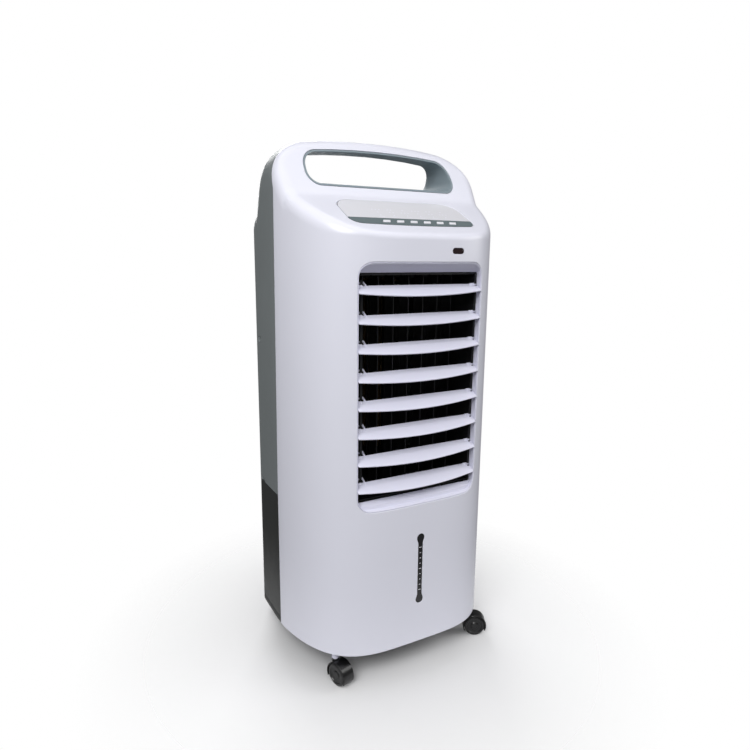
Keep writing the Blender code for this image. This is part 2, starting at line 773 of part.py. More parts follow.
def make_drain_plug(look):
    plug = rod(DRAIN_PLACE, 0.0086, 0.1265, 0.1296, "Y", 16)
    join(plug, rod(DRAIN_PLACE, 0.0048, 0.1180, 0.1270, "Y", 12))
    return finish(plug, "drain_plug", look, (DRAIN_PLACE[0], 0.1265, DRAIN_PLACE[1]))


def make_pump(body_look, rotor_look):
    """A submersible pump on the tank's floor, with its outlet pipe up to the docking face."""
    low = TANK_FLOOR_Z + 0.0005
    body = box((PUMP_X - 0.022, PUMP_Y - 0.018, low), (PUMP_X + 0.022, PUMP_Y + 0.018, 0.0880))
    join(body, rod((RISER_X, RISER_Y), 0.0050, 0.0860, 0.2343))
    cut(body, rod((RISER_X, RISER_Y), 0.0032, 0.0900, 0.3, sides=10))
    cut(body, rod((PUMP_X - 0.004, PUMP_Y), 0.0135, 0.0, 0.0680, sides=16))
    cut(body, rod((PUMP_X - 0.004, PUMP_Y), 0.0019, 0.0670, 0.0780, sides=8))
    cut(body, box((0.0, PUMP_Y - 0.006, 0.0), (0.2, PUMP_Y + 0.006, 0.0600)))
    finish(body, "pump", body_look)
    centre = (PUMP_X - 0.004, PUMP_Y)
    rotor = rod(centre, 0.0115, 0.0620, 0.0640, sides=16)
    for turn in range(0, 180, 60):
        blade = moved(box((-0.0108, -0.0006, 0.0575), (0.0108, 0.0006, 0.0625)), (*centre, 0), turn)
        join(rotor, blade)
    join(rotor, rod(centre, 0.0015, 0.0630, 0.0760, sides=8))
    finish(rotor, "pump_impeller", rotor_look, (*centre, 0.0620))


def make_riser(look):
    riser = rod((RISER_X, RISER_Y), 0.0045, 0.2350, 0.5486)
    cut(riser, rod((RISER_X, RISER_Y), 0.0031, 0.2, 0.6, sides=10))
    return finish(riser, "riser_pipe", look)


def make_tray(look):
    """The drip tray above the pad."""
    tray = box((-0.090, 0.078, 0.5490), (0.114, 0.108, 0.5640))
    cut(tray, box((-0.0885, 0.0795, 0.5508), (0.1125, 0.1065, 0.6)))
    cut(tray, rod((RISER_X, RISER_Y), 0.0031, 0.5, 0.6, sides=10))
    for index in range(7):
        cut(tray, rod((-0.075 + 0.025 * index, RISER_Y), 0.0020, 0.5, 0.6, sides=8))
    return finish(tray, "water_tray", look)


def make_pad(look):
    low = (-PAD_HALF_WIDTH, PAD_Y[0], PAD_Z[0])
    high = (PAD_HALF_WIDTH, PAD_Y[1], PAD_Z[1])
    return finish(box(low, high), "cooling_pad", look)


def make_intake(grille_look, filter_look):
    """The rear grille, a rimmed plate of slots, and the dust filter that clips into it."""
    half, low, high = INTAKE_HALF_WIDTH - 0.0005, INTAKE_Z[0] + 0.0005, INTAKE_Z[1] - 0.0005
    rim = rounded_rectangle(half, low, high, 0.0075)
    grille = prism(rim, 0.1190, 0.1297, "Y")
    cut(grille, prism(inset(rim, 0.003), 0.11, 0.1267, "Y"))
    rows, columns, bar = 15, 3, 0.0045
    width = (2 * (half - 0.008) - bar * (columns - 1)) / columns
    height = (high - low - 0.016 - bar * (rows - 1)) / rows
    for row in range(rows):
        z = low + 0.008 + row * (height + bar)
        for column in range(columns):
            x = -half + 0.008 + column * (width + bar)
            cut(grille, box((x, 0.10, z), (x + width, 0.2, z + height)))
    finish(grille, "rear_grille", grille_look)
    filter_sheet = box((-half + 0.0055, 0.1200, low + 0.0055), (half - 0.0055, 0.1225, high - 0.0055))
    finish(filter_sheet, "dust_filter", filter_look)


def make_gland(look):
    gland = rod((GLAND_X, LATCH_Z), 0.0055, 0.1200, 0.1288, "Y")
    join(gland, rod((GLAND_X, LATCH_Z), 0.0053, 0.1280, 0.1298, "Y"))
    cut(gland, rod((GLAND_X, LATCH_Z), 0.0032, 0.10, 0.2, "Y", 10))
    return finish(gland, "cord_gland", look)


# ---------------------------------------------------------------- controls and windows


def make_panel(overlay_look, strip_look):
    top = prism(panel_outline(), -0.0024, -0.0002)
    common(top, box((-0.2, STRIP_V + GAP / 2, -0.1), (0.2, 0.2, 0.1)))
    finish(on_slope(top), "control_overlay", overlay_look)
    lower = prism(panel_outline(), -0.0024, -0.0002)
    common(lower, box((-0.2, -0.1, -0.1), (0.2, STRIP_V - GAP / 2, 0.1)))
    half_u, half_v = (size / 2 + GAP for size in BUTTON_SIZE)
    for index in range(BUTTON_COUNT):
        u = BUTTON_FIRST_U + BUTTON_PITCH * index
        cut(lower, box((u - half_u, BUTTON_V - half_v, -0.01), (u + half_u, BUTTON_V + half_v, 0.01)))
    finish(on_slope(lower), "button_strip", strip_look)


def make_buttons(look):
    """Key caps with a skirt under the strip, each sliding along the slope's normal."""
    half_u, half_v = (size / 2 for size in BUTTON_SIZE)
    cap = box((-half_u, -half_v, -0.0060), (half_u, half_v, 0.0006))
    join(cap, box((-half_u - 0.001, -half_v - 0.0008, -0.0060), (half_u + 0.001, half_v + 0.0008, -0.0045)))
    first = finish(cap, "button_1", look)
    first.rotation_euler.x = math.radians(SLOPE_ANGLE)
    first.location = slope_point(BUTTON_V, 0, BUTTON_FIRST_U)
    for index in range(1, BUTTON_COUNT):
        place = slope_point(BUTTON_V, 0, BUTTON_FIRST_U + BUTTON_PITCH * index)
        copy_of(first, f"button_{index + 1}", place)


def make_board(look):
    board = box((-0.080, 0.0255, -0.0110), (0.080, 0.0860, -0.0094))
    chips = ((-0.045, 0.062, 0.016, 0.010, 0.004), (0.02, 0.060, 0.022, 0.008, 0.003))
    for u, v, half_u, half_v, height in chips:
        join(board, box((u - half_u, v - half_v, -0.0100), (u + half_u, v + half_v, -0.0094 + height)))
    return finish(on_slope(board), "control_board", look)


def make_windows(lens_look, level_look):
    lens = prism(lens_outline(), -0.1292, -0.1268, "Y")
    finish(lens, "ir_window", lens_look)
    finish(prism(bone_outline(), -0.1297, -0.1277, "Y"), "level_window", level_look)


# ---------------------------------------------------------------- casters


def hood_outline():
    """The hood over the wheels, as (x, z) from the stem axis: an arc band, open underneath."""
    centre = (CASTER_TRAIL, WHEEL_RADIUS)
    turns = range(-25, 206, 23)
    outer = arc(centre, HOOD_RADIUS, turns)
    inner = arc(centre, HOOD_RADIUS - HOOD_WALL, turns)
    return outer + inner[::-1]


def make_casters(hood_look, wheel_look):
    """Twin-wheel casters about their stem at the origin, trailing along +X."""
    half = WHEEL_FACES[1] + 0.0005
    hub = (CASTER_TRAIL, WHEEL_RADIUS)
    hood = prism(hood_outline(), -half, half, "Y")
    web = arc(hub, HOOD_RADIUS - HOOD_WALL / 2, range(-20, 201, 20))
    join(hood, prism(web, -0.0014, 0.0014, "Y"))
    join(hood, rod(hub, 0.0050, -0.0014, 0.0014, "Y"))
    join(hood, rod((0, 0), SOCKET_RADIUS - 0.0003, 0.0296, SOCKET_Z - GAP, sides=10))
    join(hood, rod((0, 0), STEM_RADIUS, 0.0310, 0.0485, sides=10))
    cut(hood, rod(hub, 0.0025, -0.1, 0.1, "Y", 10))
    wheels = rod(hub, 0.0020, -WHEEL_FACES[1], WHEEL_FACES[1], "Y", 10)
    for side in (-1, 1):
        low, high = sorted(side * face for face in WHEEL_FACES)
        join(wheels, rod(hub, WHEEL_RADIUS, low, high, "Y", 24))
    hood = finish(hood, "caster_hood_fl", hood_look)
    wheels = finish(wheels, "caster_wheels_fl", wheel_look, (CASTER_TRAIL, 0, WHEEL_RADIUS))
    for corner, (x, y) in CASTER_STEMS.items():
        turn = math.radians(CASTER_TURNS[corner])
        hub_place = (x + CASTER_TRAIL * math.cos(turn), y + CASTER_TRAIL * math.sin(turn), WHEEL_RADIUS)
        for piece, kind, place in ((hood, "caster_hood", (x, y, 0)), (wheels, "caster_wheels", hub_place)):
            if corner != "fl":
                piece = copy_of(piece, f"{kind}_{corner}", place)
            piece.location = place
            piece.rotation_euler.z = turn


# ---------------------------------------------------------------- assembly


def main():
    clear_scene()
    white = material("shell_white", (0.80, 0.80, 0.86), 0.32)
    lavender = material("recess_white", (0.72, 0.72, 0.83), 0.36)
    grey = material("rear_grey", (0.19, 0.21, 0.21), 0.45)
    teal = material("liner_grey", (0.16, 0.24, 0.25), 0.40)
    charcoal = material("tank_charcoal", (0.03, 0.035, 0.033), 0.40)
    black = material("black_plastic", (0.012, 0.012, 0.013), 0.35)
    steel = material("motor_steel", (0.45, 0.45, 0.46), 0.35, 1.0)
    pad = material("pad_paper", (0.30, 0.20, 0.09), 0.90)
    mesh = material("filter_mesh", (0.02, 0.02, 0.02), 0.70)
    green = material("board_green", (0.02, 0.16, 0.07), 0.40)
    smoke = material("smoked_lens", (0.05, 0.01, 0.01), 0.10)
    rubber = material("seal_rubber", (0.03, 0.03, 0.03), 0.70)

    make_front_shell(white)
    make_rear_shell(grey)
    make_base_plate(charcoal)
    make_handle_liner(teal)
    make_bezel(lavender)
    make_louvres(lavender)
    make_louvre_link(black)
    make_vanes(black)
    make_vane_link(black)
    make_vane_frame(black)
    make_swing_drive(steel, black)
    make_fan_wheel(black)
    make_fan_motor(steel)
    make_fan_housing(black)
    make_tank(charcoal)
    make_tank_latch(black)
    make_drain_plug(rubber)
    make_pump(black, lavender)
    make_riser(lavender)
    make_tray(lavender)
    make_pad(pad)
    make_intake(grey, mesh)
    make_gland(rubber)
    make_panel(white, teal)
    make_buttons(white)
    make_board(green)
    make_windows(smoke, black)
    make_casters(black, black)


main()
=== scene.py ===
"""Studio scene of a slim tower air cooler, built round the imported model.

Every length is in metres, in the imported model's own frame: +X right as seen from the front, +Y to
the back, +Z up, with the origin on the floor under the body.
"""

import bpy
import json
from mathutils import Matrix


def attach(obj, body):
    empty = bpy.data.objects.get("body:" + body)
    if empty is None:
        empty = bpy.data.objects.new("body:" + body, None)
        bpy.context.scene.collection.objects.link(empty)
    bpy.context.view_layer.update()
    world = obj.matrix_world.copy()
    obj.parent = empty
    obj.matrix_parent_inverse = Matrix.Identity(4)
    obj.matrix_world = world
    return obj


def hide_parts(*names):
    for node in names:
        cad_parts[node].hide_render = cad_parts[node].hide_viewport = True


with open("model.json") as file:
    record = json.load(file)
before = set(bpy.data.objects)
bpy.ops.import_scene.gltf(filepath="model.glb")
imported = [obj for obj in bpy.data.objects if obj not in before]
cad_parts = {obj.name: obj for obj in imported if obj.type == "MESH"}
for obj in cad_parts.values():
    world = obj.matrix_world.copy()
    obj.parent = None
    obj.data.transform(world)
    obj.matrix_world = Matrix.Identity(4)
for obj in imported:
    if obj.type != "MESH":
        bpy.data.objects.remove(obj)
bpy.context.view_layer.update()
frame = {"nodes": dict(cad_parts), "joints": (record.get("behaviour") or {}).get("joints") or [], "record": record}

import json
import logging
import math
from collections.abc import Callable, Iterable
from dataclasses import dataclass
from enum import Enum

import bmesh
import bpy
import numpy as np
from mathutils import Matrix, Vector

LOG = logging.getLogger("cooler")
CASING = "casing"
REARWARD = Vector((0, 1, 0))
UP = Vector((0, 0, 1))

# The gap between two mouldings that meet.
FIT = 0.0003

Outline = list[tuple[float, float]]
Shape = Callable[[float], Outline]


class Corner(Enum):
    """The four casters."""

    FRONT_LEFT = "fl"
    FRONT_RIGHT = "fr"
    REAR_LEFT = "rl"
    REAR_RIGHT = "rr"


class Across(Enum):
    """The axis that a flat outline is drawn across, as the order its two coordinates and height take."""

    X = (1, 2, 0)
    Y = (0, 2, 1)
    Z = (0, 1, 2)


# ---------------------------------------------------------------- finishes


@dataclass(frozen=True)
class Finish:
    """A moulded surface: a base colour with a slow drift in it, and a fine grain.

    Args:
        slot: the record's material slot.
        colour: linear base colour.
        roughness: the middle of its roughness.
        grain: height of the fine mould grain.
        grain_scale: how many grains to a metre.
        drift: how far the colour wanders, as a share.
        metallic: 1 for bare metal.
        coat: strength of a clear gloss over the colour.
    """

    slot: str
    colour: tuple[float, float, float]
    roughness: float
    grain: float = 0.00002
    grain_scale: float = 1500.0
    drift: float = 0.04
    metallic: float = 0.0
    coat: float = 0.0

    def make(self) -> bpy.types.Material:
        """Builds the material.

        Returns:
            The material, with its pattern on Object coordinates.
        """
        made = bpy.data.materials.new(self.slot)
        made.use_nodes = True
        tree = NodeBench(made.node_tree)
        place = tree.add("ShaderNodeTexCoord").outputs["Object"]
        shader = made.node_tree.nodes["Principled BSDF"]
        shader.inputs["Metallic"].default_value = self.metallic
        shader.inputs["Coat Weight"].default_value = self.coat
        shader.inputs["Coat Roughness"].default_value = 0.06
        shader.inputs["IOR"].default_value = 1.50
        colour = self.paint(tree, place)
        tree.join(colour, shader.inputs["Base Color"])
        cloud = tree.noise(place, 55.0, 4.0)
        tree.join(tree.span(cloud, self.roughness * 0.95, self.roughness * 1.05), shader.inputs["Roughness"])
        tree.join(self.relief(tree, place), shader.inputs["Normal"])
        return made

    def paint(self, tree: "NodeBench", place: bpy.types.NodeSocket) -> bpy.types.NodeSocket:
        """The colour, with its slow drift.

        Args:
            tree: the bench that makes nodes.
            place: the Object coordinate.

        Returns:
            A colour socket.
        """
        darker = tuple(channel * (1 - self.drift) for channel in self.colour)
        lighter = tuple(min(1.0, channel * (1 + self.drift)) for channel in self.colour)
        return tree.blend(tree.noise(place, 9.0, 3.0), darker, lighter)

    def relief(self, tree: "NodeBench", place: bpy.types.NodeSocket) -> bpy.types.NodeSocket:
        """The fine mould grain.

        Args:
            tree: the bench that makes nodes.
            place: the Object coordinate.

        Returns:
            A normal socket.
        """
        return tree.bump(tree.noise(place, self.grain_scale, 2.0), self.grain)


@dataclass(frozen=True)
class WavyFinish(Finish):
    """A surface with a regular pattern over its colour: corrugated paper, woven mesh or turned metal."""

    stretch: tuple[float, float, float] = (1.0, 1.0, 1.0)
    other: tuple[float, float, float] = (0.0, 0.0, 0.0)
    depth: float = 0.0008
    bands: float = 60.0

    def paint(self, tree: "NodeBench", place: bpy.types.NodeSocket) -> bpy.types.NodeSocket:
        """Two colours in waves.

        Args:
            tree: the bench that makes nodes.
            place: the Object coordinate.

        Returns:
            A colour socket.
        """
        return tree.blend(self.wave(tree, place), self.other, self.colour)

    def wave(self, tree: "NodeBench", place: bpy.types.NodeSocket) -> bpy.types.NodeSocket:
        """The pattern's height.

        Args:
            tree: the bench that makes nodes.
            place: the Object coordinate.

        Returns:
            A value socket.
        """
        laid = tree.add("ShaderNodeMapping")
        tree.join(place, laid.inputs["Vector"])
        laid.inputs["Scale"].default_value = self.stretch
        wave = tree.add("ShaderNodeTexWave")
        tree.join(laid.outputs["Vector"], wave.inputs["Vector"])
        wave.inputs["Scale"].default_value = self.bands
        wave.inputs["Distortion"].default_value = 1.5
        return wave.outputs["Fac"]

    def relief(self, tree: "NodeBench", place: bpy.types.NodeSocket) -> bpy.types.NodeSocket:
        """The pattern as a relief.

        Args:
            tree: the bench that makes nodes.
            place: the Object coordinate.

        Returns:
            A normal socket.
        """
        return tree.bump(self.wave(tree, place), self.depth)


class NodeBench:
    """Short calls that make and join a material's nodes."""

    def __init__(self, tree: bpy.types.NodeTree) -> None:
        """Works on one node tree."""
        self.tree = tree

    def add(self, kind: str, **settings: str) -> bpy.types.Node:
        """Adds a node.

        Args:
            kind: the node's type.
            settings: properties to set on it.

        Returns:
            The node.
        """
        node = self.tree.nodes.new(kind)
        for name, value in settings.items():
            setattr(node, name, value)
        return node

    def join(self, source: bpy.types.NodeSocket, target: bpy.types.NodeSocket) -> None:
        """Links two sockets."""
        self.tree.links.new(source, target)

    def noise(self, place: bpy.types.NodeSocket, scale: float, detail: float) -> bpy.types.NodeSocket:
        """A cloud of noise at a scale, with some detail."""
        node = self.add("ShaderNodeTexNoise")
        self.join(place, node.inputs["Vector"])
        node.inputs["Scale"].default_value = scale
        node.inputs["Detail"].default_value = detail
        return node.outputs["Fac"]

    def span(self, value: bpy.types.NodeSocket, low: float, high: float) -> bpy.types.NodeSocket:
        """Spreads a noise, which lies mostly between 0.3 and 0.7, over a range."""
        return self.ramp(value, 0.3, 0.7, low, high)

    def ramp(
        self, value: bpy.types.NodeSocket, start: float, end: float, low: float, high: float
    ) -> bpy.types.NodeSocket:
        """Maps the stretch from start to end onto low to high, and holds it outside."""
        node = self.add("ShaderNodeMapRange")
        self.join(value, node.inputs["Value"])
        for name, number in (("From Min", start), ("From Max", end), ("To Min", low), ("To Max", high)):
            node.inputs[name].default_value = number
        return node.outputs["Result"]

    def blend(
        self, value: bpy.types.NodeSocket, first: Iterable[float], second: Iterable[float]
    ) -> bpy.types.NodeSocket:
        """Mixes two colours by a noise or wave."""
        mix = self.add("ShaderNodeMix", data_type="RGBA")
        self.join(self.span(value, 0.0, 1.0), mix.inputs["Factor"])
        mix.inputs[6].default_value = (*first, 1.0)
        mix.inputs[7].default_value = (*second, 1.0)
        return mix.outputs[2]

    def bump(self, height: bpy.types.NodeSocket, depth: float) -> bpy.types.NodeSocket:
        """A normal from a height, depth metres from low to high."""
        node = self.add("ShaderNodeBump")
        self.join(height, node.inputs["Height"])
        node.inputs["Strength"].default_value = 1.0
        node.inputs["Distance"].default_value = depth
        return node.outputs["Normal"]


class Finishes:
    """Every finish on the cooler, made once and handed out by slot."""

    TABLE = (
        Finish("shell_white", (0.765, 0.77, 0.86), 0.30, 0.000001, 900.0, 0.006),
        Finish("rear_grey", (0.185, 0.205, 0.210), 0.46, 0.00003, 1400.0, 0.03),
        Finish("tank_charcoal", (0.017, 0.019, 0.018), 0.50, 0.00003, 1400.0, 0.05),
        Finish("liner_grey", (0.225, 0.275, 0.305), 0.38, 0.00001, 1300.0, 0.03),
        Finish("recess_white", (0.70, 0.70, 0.82), 0.36, 0.000001, 900.0, 0.010),
        # black_plastic: its own black, made darker still so the vanes deep in the outlet's throat read black,
        # which is partly painted shade.
        Finish("black_plastic", (0.0035, 0.0035, 0.0040), 0.55, 0.00002, 1400.0, 0.10),
        WavyFinish("motor_steel", (0.48, 0.48, 0.50), 0.32, metallic=1.0, stretch=(0.2, 0.2, 4.0),
                   other=(0.40, 0.40, 0.42), depth=0.00001, bands=300.0),
        Finish("seal_rubber", (0.022, 0.022, 0.022), 0.70, 0.00004, 1800.0, 0.12),
        Finish("natural_plastic", (0.62, 0.64, 0.60), 0.34, 0.00001, 900.0, 0.03),
        WavyFinish("pad_paper", (0.24, 0.155, 0.07), 0.88, stretch=(1.0, 0.3, 1.3),
                   other=(0.10, 0.055, 0.02), depth=0.0020, bands=70.0),
        WavyFinish("filter_mesh", (0.045, 0.045, 0.045), 0.72, stretch=(1.0, 1.0, 1.0),
                   other=(0.006, 0.006, 0.006), depth=0.0003, bands=260.0),
        Finish("overlay_white", (0.79, 0.79, 0.84), 0.16, 0.000002, 700.0, 0.01, coat=0.6),
        Finish("strip_grey", (0.135, 0.175, 0.185), 0.22, 0.000004, 900.0, 0.03, coat=0.4),
        Finish("button_white", (0.82, 0.82, 0.87), 0.28, 0.000004, 900.0, 0.01),
        Finish("board_green", (0.015, 0.14, 0.06), 0.35, 0.00003, 500.0, 0.15),
        Finish("smoked_lens", (0.014, 0.004, 0.005), 0.08, 0.000001, 700.0, 0.05, coat=1.0),
        Finish("window_black", (0.008, 0.008, 0.010), 0.12, 0.000002, 700.0, 0.05, coat=0.8),
        Finish("caster_black", (0.0030, 0.0030, 0.0035), 0.30, 0.000004, 900.0, 0.10, coat=0.15),
    )

    def __init__(self) -> None:
        """Makes every material."""
        self.made = {finish.slot: finish.make() for finish in self.TABLE}

    def put_on(self, piece: bpy.types.Object, slot: str) -> None:
        """Gives a piece the finish of a slot."""
        piece.data.materials.clear()
        piece.data.materials.append(self.made[slot])


# ---------------------------------------------------------------- outlines


def filleted(points: Outline, radii: Iterable[float], step: float = 6.0) -> Outline:
    """Rounds an outline's corners.

    Args:
        points: the corners in order.
        radii: one radius for each corner, 0 for a sharp one.
        step: degrees of turn for each facet.

    Returns:
        The rounded outline.
    """
    outline: Outline = []
    for index, radius in enumerate(radii):
        corner = Vector(points[index])
        before = (Vector(points[index - 1]) - corner).normalized()
        after = (Vector(points[(index + 1) % len(points)]) - corner).normalized()
        if radius == 0:
            outline.append(tuple(corner))
            continue
        half = before.angle(after) / 2
        centre = corner + (before + after).normalized() * radius / math.sin(half)
        start = corner + before * radius / math.tan(half) - centre
        end = corner + after * radius / math.tan(half) - centre
        sweep = start.angle_signed(end)
        parts = max(2, round(math.degrees(abs(sweep)) / step))
        for part in range(parts + 1):
            outline.append(tuple(centre + Matrix.Rotation(-sweep * part / parts, 2) @ start))
    return outline


def grown(outline: Outline, distance: float) -> Outline:
    """Moves an anticlockwise outline outwards.

    Args:
        outline: the closed outline.
        distance: how far, inwards where it is negative.

    Returns:
        An outline with as many points.
    """
    result: Outline = []
    for index, here in enumerate(outline):
        into = (Vector(here) - Vector(outline[index - 1])).normalized()
        out = (Vector(outline[(index + 1) % len(outline)]) - Vector(here)).normalized()
        normal = Vector((into.y + out.y, -into.x - out.x)).normalized()
        stretch = 1 / max(0.3, normal.dot(Vector((into.y, -into.x))))
        result.append(tuple(Vector(here) + normal * distance * stretch))
    return result


def oblong(half_width: float, low: float, high: float, radius: float) -> Shape:
    """A rounded rectangle that can be asked for at any growth.

    Args:
        half_width: half its width, about 0.
        low: its lower side.
        high: its upper side.
        radius: its corner radius.

    Returns:
        A function from growth to outline.
    """
    corners = [(-half_width, low), (half_width, low), (half_width, high), (-half_width, high)]
    base = densified(filleted(corners, [radius] * 4), 0.006)
    return lambda growth: grown(base, growth)


def densified(outline: Outline, longest: float) -> Outline:
    """Adds points along the straight runs.

    Args:
        outline: the closed outline.
        longest: the longest side that may remain.

    Returns:
        The outline with more points.
    """
    result: Outline = []
    for index, here in enumerate(outline):
        ahead = outline[(index + 1) % len(outline)]
        parts = max(1, math.ceil(math.dist(here, ahead) / longest))
        for part in range(parts):
            share = part / parts
            result.append((here[0] + (ahead[0] - here[0]) * share, here[1] + (ahead[1] - here[1]) * share))
    return result


def round_edge(radius: float, parts: int = 3) -> list[tuple[float, float]]:
    """A quarter round from a surface into a hole, as (growth, depth) pairs."""
    turns = [math.pi / 2 * part / parts for part in range(parts + 1)]
    return [(radius * (1 - math.sin(turn)), radius * (1 - math.cos(turn))) for turn in turns]


# ---------------------------------------------------------------- meshes


class Mould:
    """Makes finished pieces out of bmeshes."""

    @staticmethod
    def piece(bm: bmesh.types.BMesh, name: str, recalculate: bool = True) -> bpy.types.Object:
        """Links a bmesh as an object at the origin.

        Args:
            bm: the bmesh, which is freed.
            name: the piece's name.
            recalculate: whether to point its faces outwards.

        Returns:
            The object.
        """
        if recalculate:
            bmesh.ops.recalc_face_normals(bm, faces=bm.faces)
        mesh = bpy.data.meshes.new(name)
        bm.to_mesh(mesh)
        bm.free()
        made = bpy.data.objects.new(name, mesh)
        bpy.context.scene.collection.objects.link(made)
        return made

    @staticmethod
    def settled(piece: bpy.types.Object) -> bpy.types.Object:
        """Applies every modifier of a piece.

        Args:
            piece: the object.

        Returns:
            The same object with a plain mesh.
        """
        bpy.context.view_layer.update()
        graph = bpy.context.evaluated_depsgraph_get()
        result = bpy.data.meshes.new_from_object(piece.evaluated_get(graph))
        result.name = piece.name
        spent = piece.data
        piece.modifiers.clear()
        piece.data = result
        bpy.data.meshes.remove(spent)
        return piece

    @staticmethod
    def boolean(target: bpy.types.Object, tool: bpy.types.Object, operation: str) -> bpy.types.Object:
        """Applies one exact Boolean and removes the tool.

        Args:
            target: the piece to change.
            tool: the other piece.
            operation: DIFFERENCE, UNION or INTERSECT.

        Returns:
            The target.
        """
        modifier = target.modifiers.new(operation.title(), "BOOLEAN")
        modifier.operation = operation
        modifier.object = tool
        Mould.settled(target)
        bpy.data.objects.remove(tool)
        return target

    @staticmethod
    def bevelled(
        piece: bpy.types.Object, width: float, segments: int = 2, angle: float = 35.0
    ) -> bpy.types.Object:
        """Rounds a piece's sharp edges with a Bevel modifier and applies it."""
        modifier = piece.modifiers.new("Bevel", "BEVEL")
        modifier.width = width
        modifier.segments = segments
        modifier.limit_method = "ANGLE"
        modifier.angle_limit = math.radians(angle)
        modifier.use_clamp_overlap = True
        return Mould.settled(piece)

    @staticmethod
    def smooth(piece: bpy.types.Object, angle: float = 32.0) -> bpy.types.Object:
        """Shades a piece smooth, with its sharper edges kept."""
        piece.data.shade_smooth()
        piece.data.set_sharp_from_angle(angle=math.radians(angle))
        return piece

    @staticmethod
    def sleeve(
        rings: list[list[Vector]], closed: bool = False, capped: bool = False
    ) -> bmesh.types.BMesh:
        """Extrudes one ring of points through the others.

        Args:
            rings: rings of points, all as long.
            closed: whether the last ring joins the first.
            capped: whether both ends get a face.

        Returns:
            The bmesh.
        """
        bm = bmesh.new()
        verts = [bm.verts.new(point) for point in rings[0]]
        count = len(verts)
        edges = [bm.edges.new((verts[index], verts[(index + 1) % count])) for index in range(count)]
        if capped:
            bm.faces.new(verts)
        path = rings[1:] + (rings[:1] if closed else [])
        for ring in path:
            grown_geometry = bmesh.ops.extrude_edge_only(bm, edges=edges)["geom"]
            fresh = [item for item in grown_geometry if isinstance(item, bmesh.types.BMVert)]
            partner = {}
            for vert in fresh:
                for edge in vert.link_edges:
                    other = edge.other_vert(vert)
                    if (other.co - vert.co).length_squared == 0 and other not in partner:
                        partner[other] = vert
            verts = [partner[vert] for vert in verts]
            for vert, point in zip(verts, ring):
                vert.co = point
            edges = [bm.edges.get((verts[index], verts[(index + 1) % count])) for index in range(count)]
        if capped:
            bm.faces.new(verts[::-1])
        if closed:
            bmesh.ops.remove_doubles(bm, verts=bm.verts, dist=1e-7)
        return bm

    @staticmethod
    def slab(
        shape: Shape, low: float, high: float, radius: float = 0.0, across: Across = Across.Z
    ) -> bmesh.types.BMesh:
        """A plate with a rounded rim on its high side.

        Args:
            shape: its outline at a growth.
            low: where it starts.
            high: where it ends.
            radius: the rim's radius, 0 for a square one.
            across: the axis it is drawn across.

        Returns:
            The bmesh.
        """
        sign = 1 if high > low else -1
        stages = [(0.0, low)]
        if radius:
            rim = reversed(round_edge(radius))
            stages += [(growth - radius, high - sign * depth) for growth, depth in rim]
        else:
            stages.append((0.0, high))
        rings = [[placed(point, height, across) for point in shape(growth)] for growth, height in stages]
        return Mould.sleeve(rings, capped=True)

    @staticmethod
    def block(
        bm: bmesh.types.BMesh, low: Iterable[float], high: Iterable[float], turn: Matrix | None = None,
        bevel: float = 0.0,
    ) -> None:
        """Adds a box between two corners, turned about its own middle and with bevelled edges.

        Args:
            bm: the bmesh to add to.
            low: the lowest corner.
            high: the highest corner.
            turn: a rotation about its middle.
            bevel: the width of its bevels.
        """
        low, high = Vector(low), Vector(high)
        made = bmesh.ops.create_cube(bm, size=1.0)["verts"]
        bmesh.ops.scale(bm, verts=made, vec=high - low)
        if bevel:
            edges = list({edge for vert in made for edge in vert.link_edges})
            made = bmesh.ops.bevel(
                bm, geom=edges, offset=bevel, segments=2, profile=0.5, affect="EDGES", material=-1
            )["verts"]
        if turn is not None:
            bmesh.ops.rotate(bm, verts=made, matrix=turn.to_3x3())
        bmesh.ops.translate(bm, verts=made, vec=(low + high) / 2)

    @staticmethod
    def drum(
        bm: bmesh.types.BMesh, profile: list[tuple[float, float]], centre: Iterable[float], axis: Vector,
        sides: int = 40, sweep: float = 360.0, start: float = 0.0,
    ) -> None:
        """Turns a profile of (radius, height) round an axis.

        Args:
            bm: the bmesh to add to.
            profile: the outline's points.
            centre: where the axis is, at height 0.
            axis: the direction that height runs along.
            sides: facets in the sweep.
            sweep: degrees turned.
            start: the angle that the sweep starts from.
        """
        full = sweep == 360.0
        verts = [bm.verts.new((radius, 0, height)) for radius, height in profile]
        edges = [bm.edges.new(pair) for pair in zip(verts, verts[1:])]
        if not full:
            edges.append(bm.edges.new((verts[-1], verts[0])))
        bmesh.ops.rotate(bm, verts=verts, matrix=Matrix.Rotation(math.radians(start), 3, "Z"))
        before = set(bm.verts) - set(verts)
        bmesh.ops.spin(
            bm, geom=verts + edges, axis=(0, 0, 1), cent=(0, 0, 0), steps=sides,
            angle=math.radians(sweep), use_merge=full, use_duplicate=False,
        )
        made = [vert for vert in bm.verts if vert not in before]
        bmesh.ops.remove_doubles(bm, verts=made, dist=1e-6)
        made = [vert for vert in bm.verts if vert not in before]
        if not full:
            rims = [edge for edge in bm.edges if edge.is_boundary and edge.verts[0] in set(made)]
            bmesh.ops.holes_fill(bm, edges=rims)
        turn = UP.rotation_difference(Vector(axis)).to_matrix()
        bmesh.ops.rotate(bm, verts=made, matrix=turn)
        bmesh.ops.translate(bm, verts=made, vec=Vector(centre))


def placed(flat: Iterable[float], height: float, across: Across) -> Vector:
    """The 3-D point of a flat outline point, at a height across the drawing."""
    point = Vector()
    point[across.value[0]], point[across.value[1]] = flat
    point[across.value[2]] = height
    return point


# ---------------------------------------------------------------- the outer form


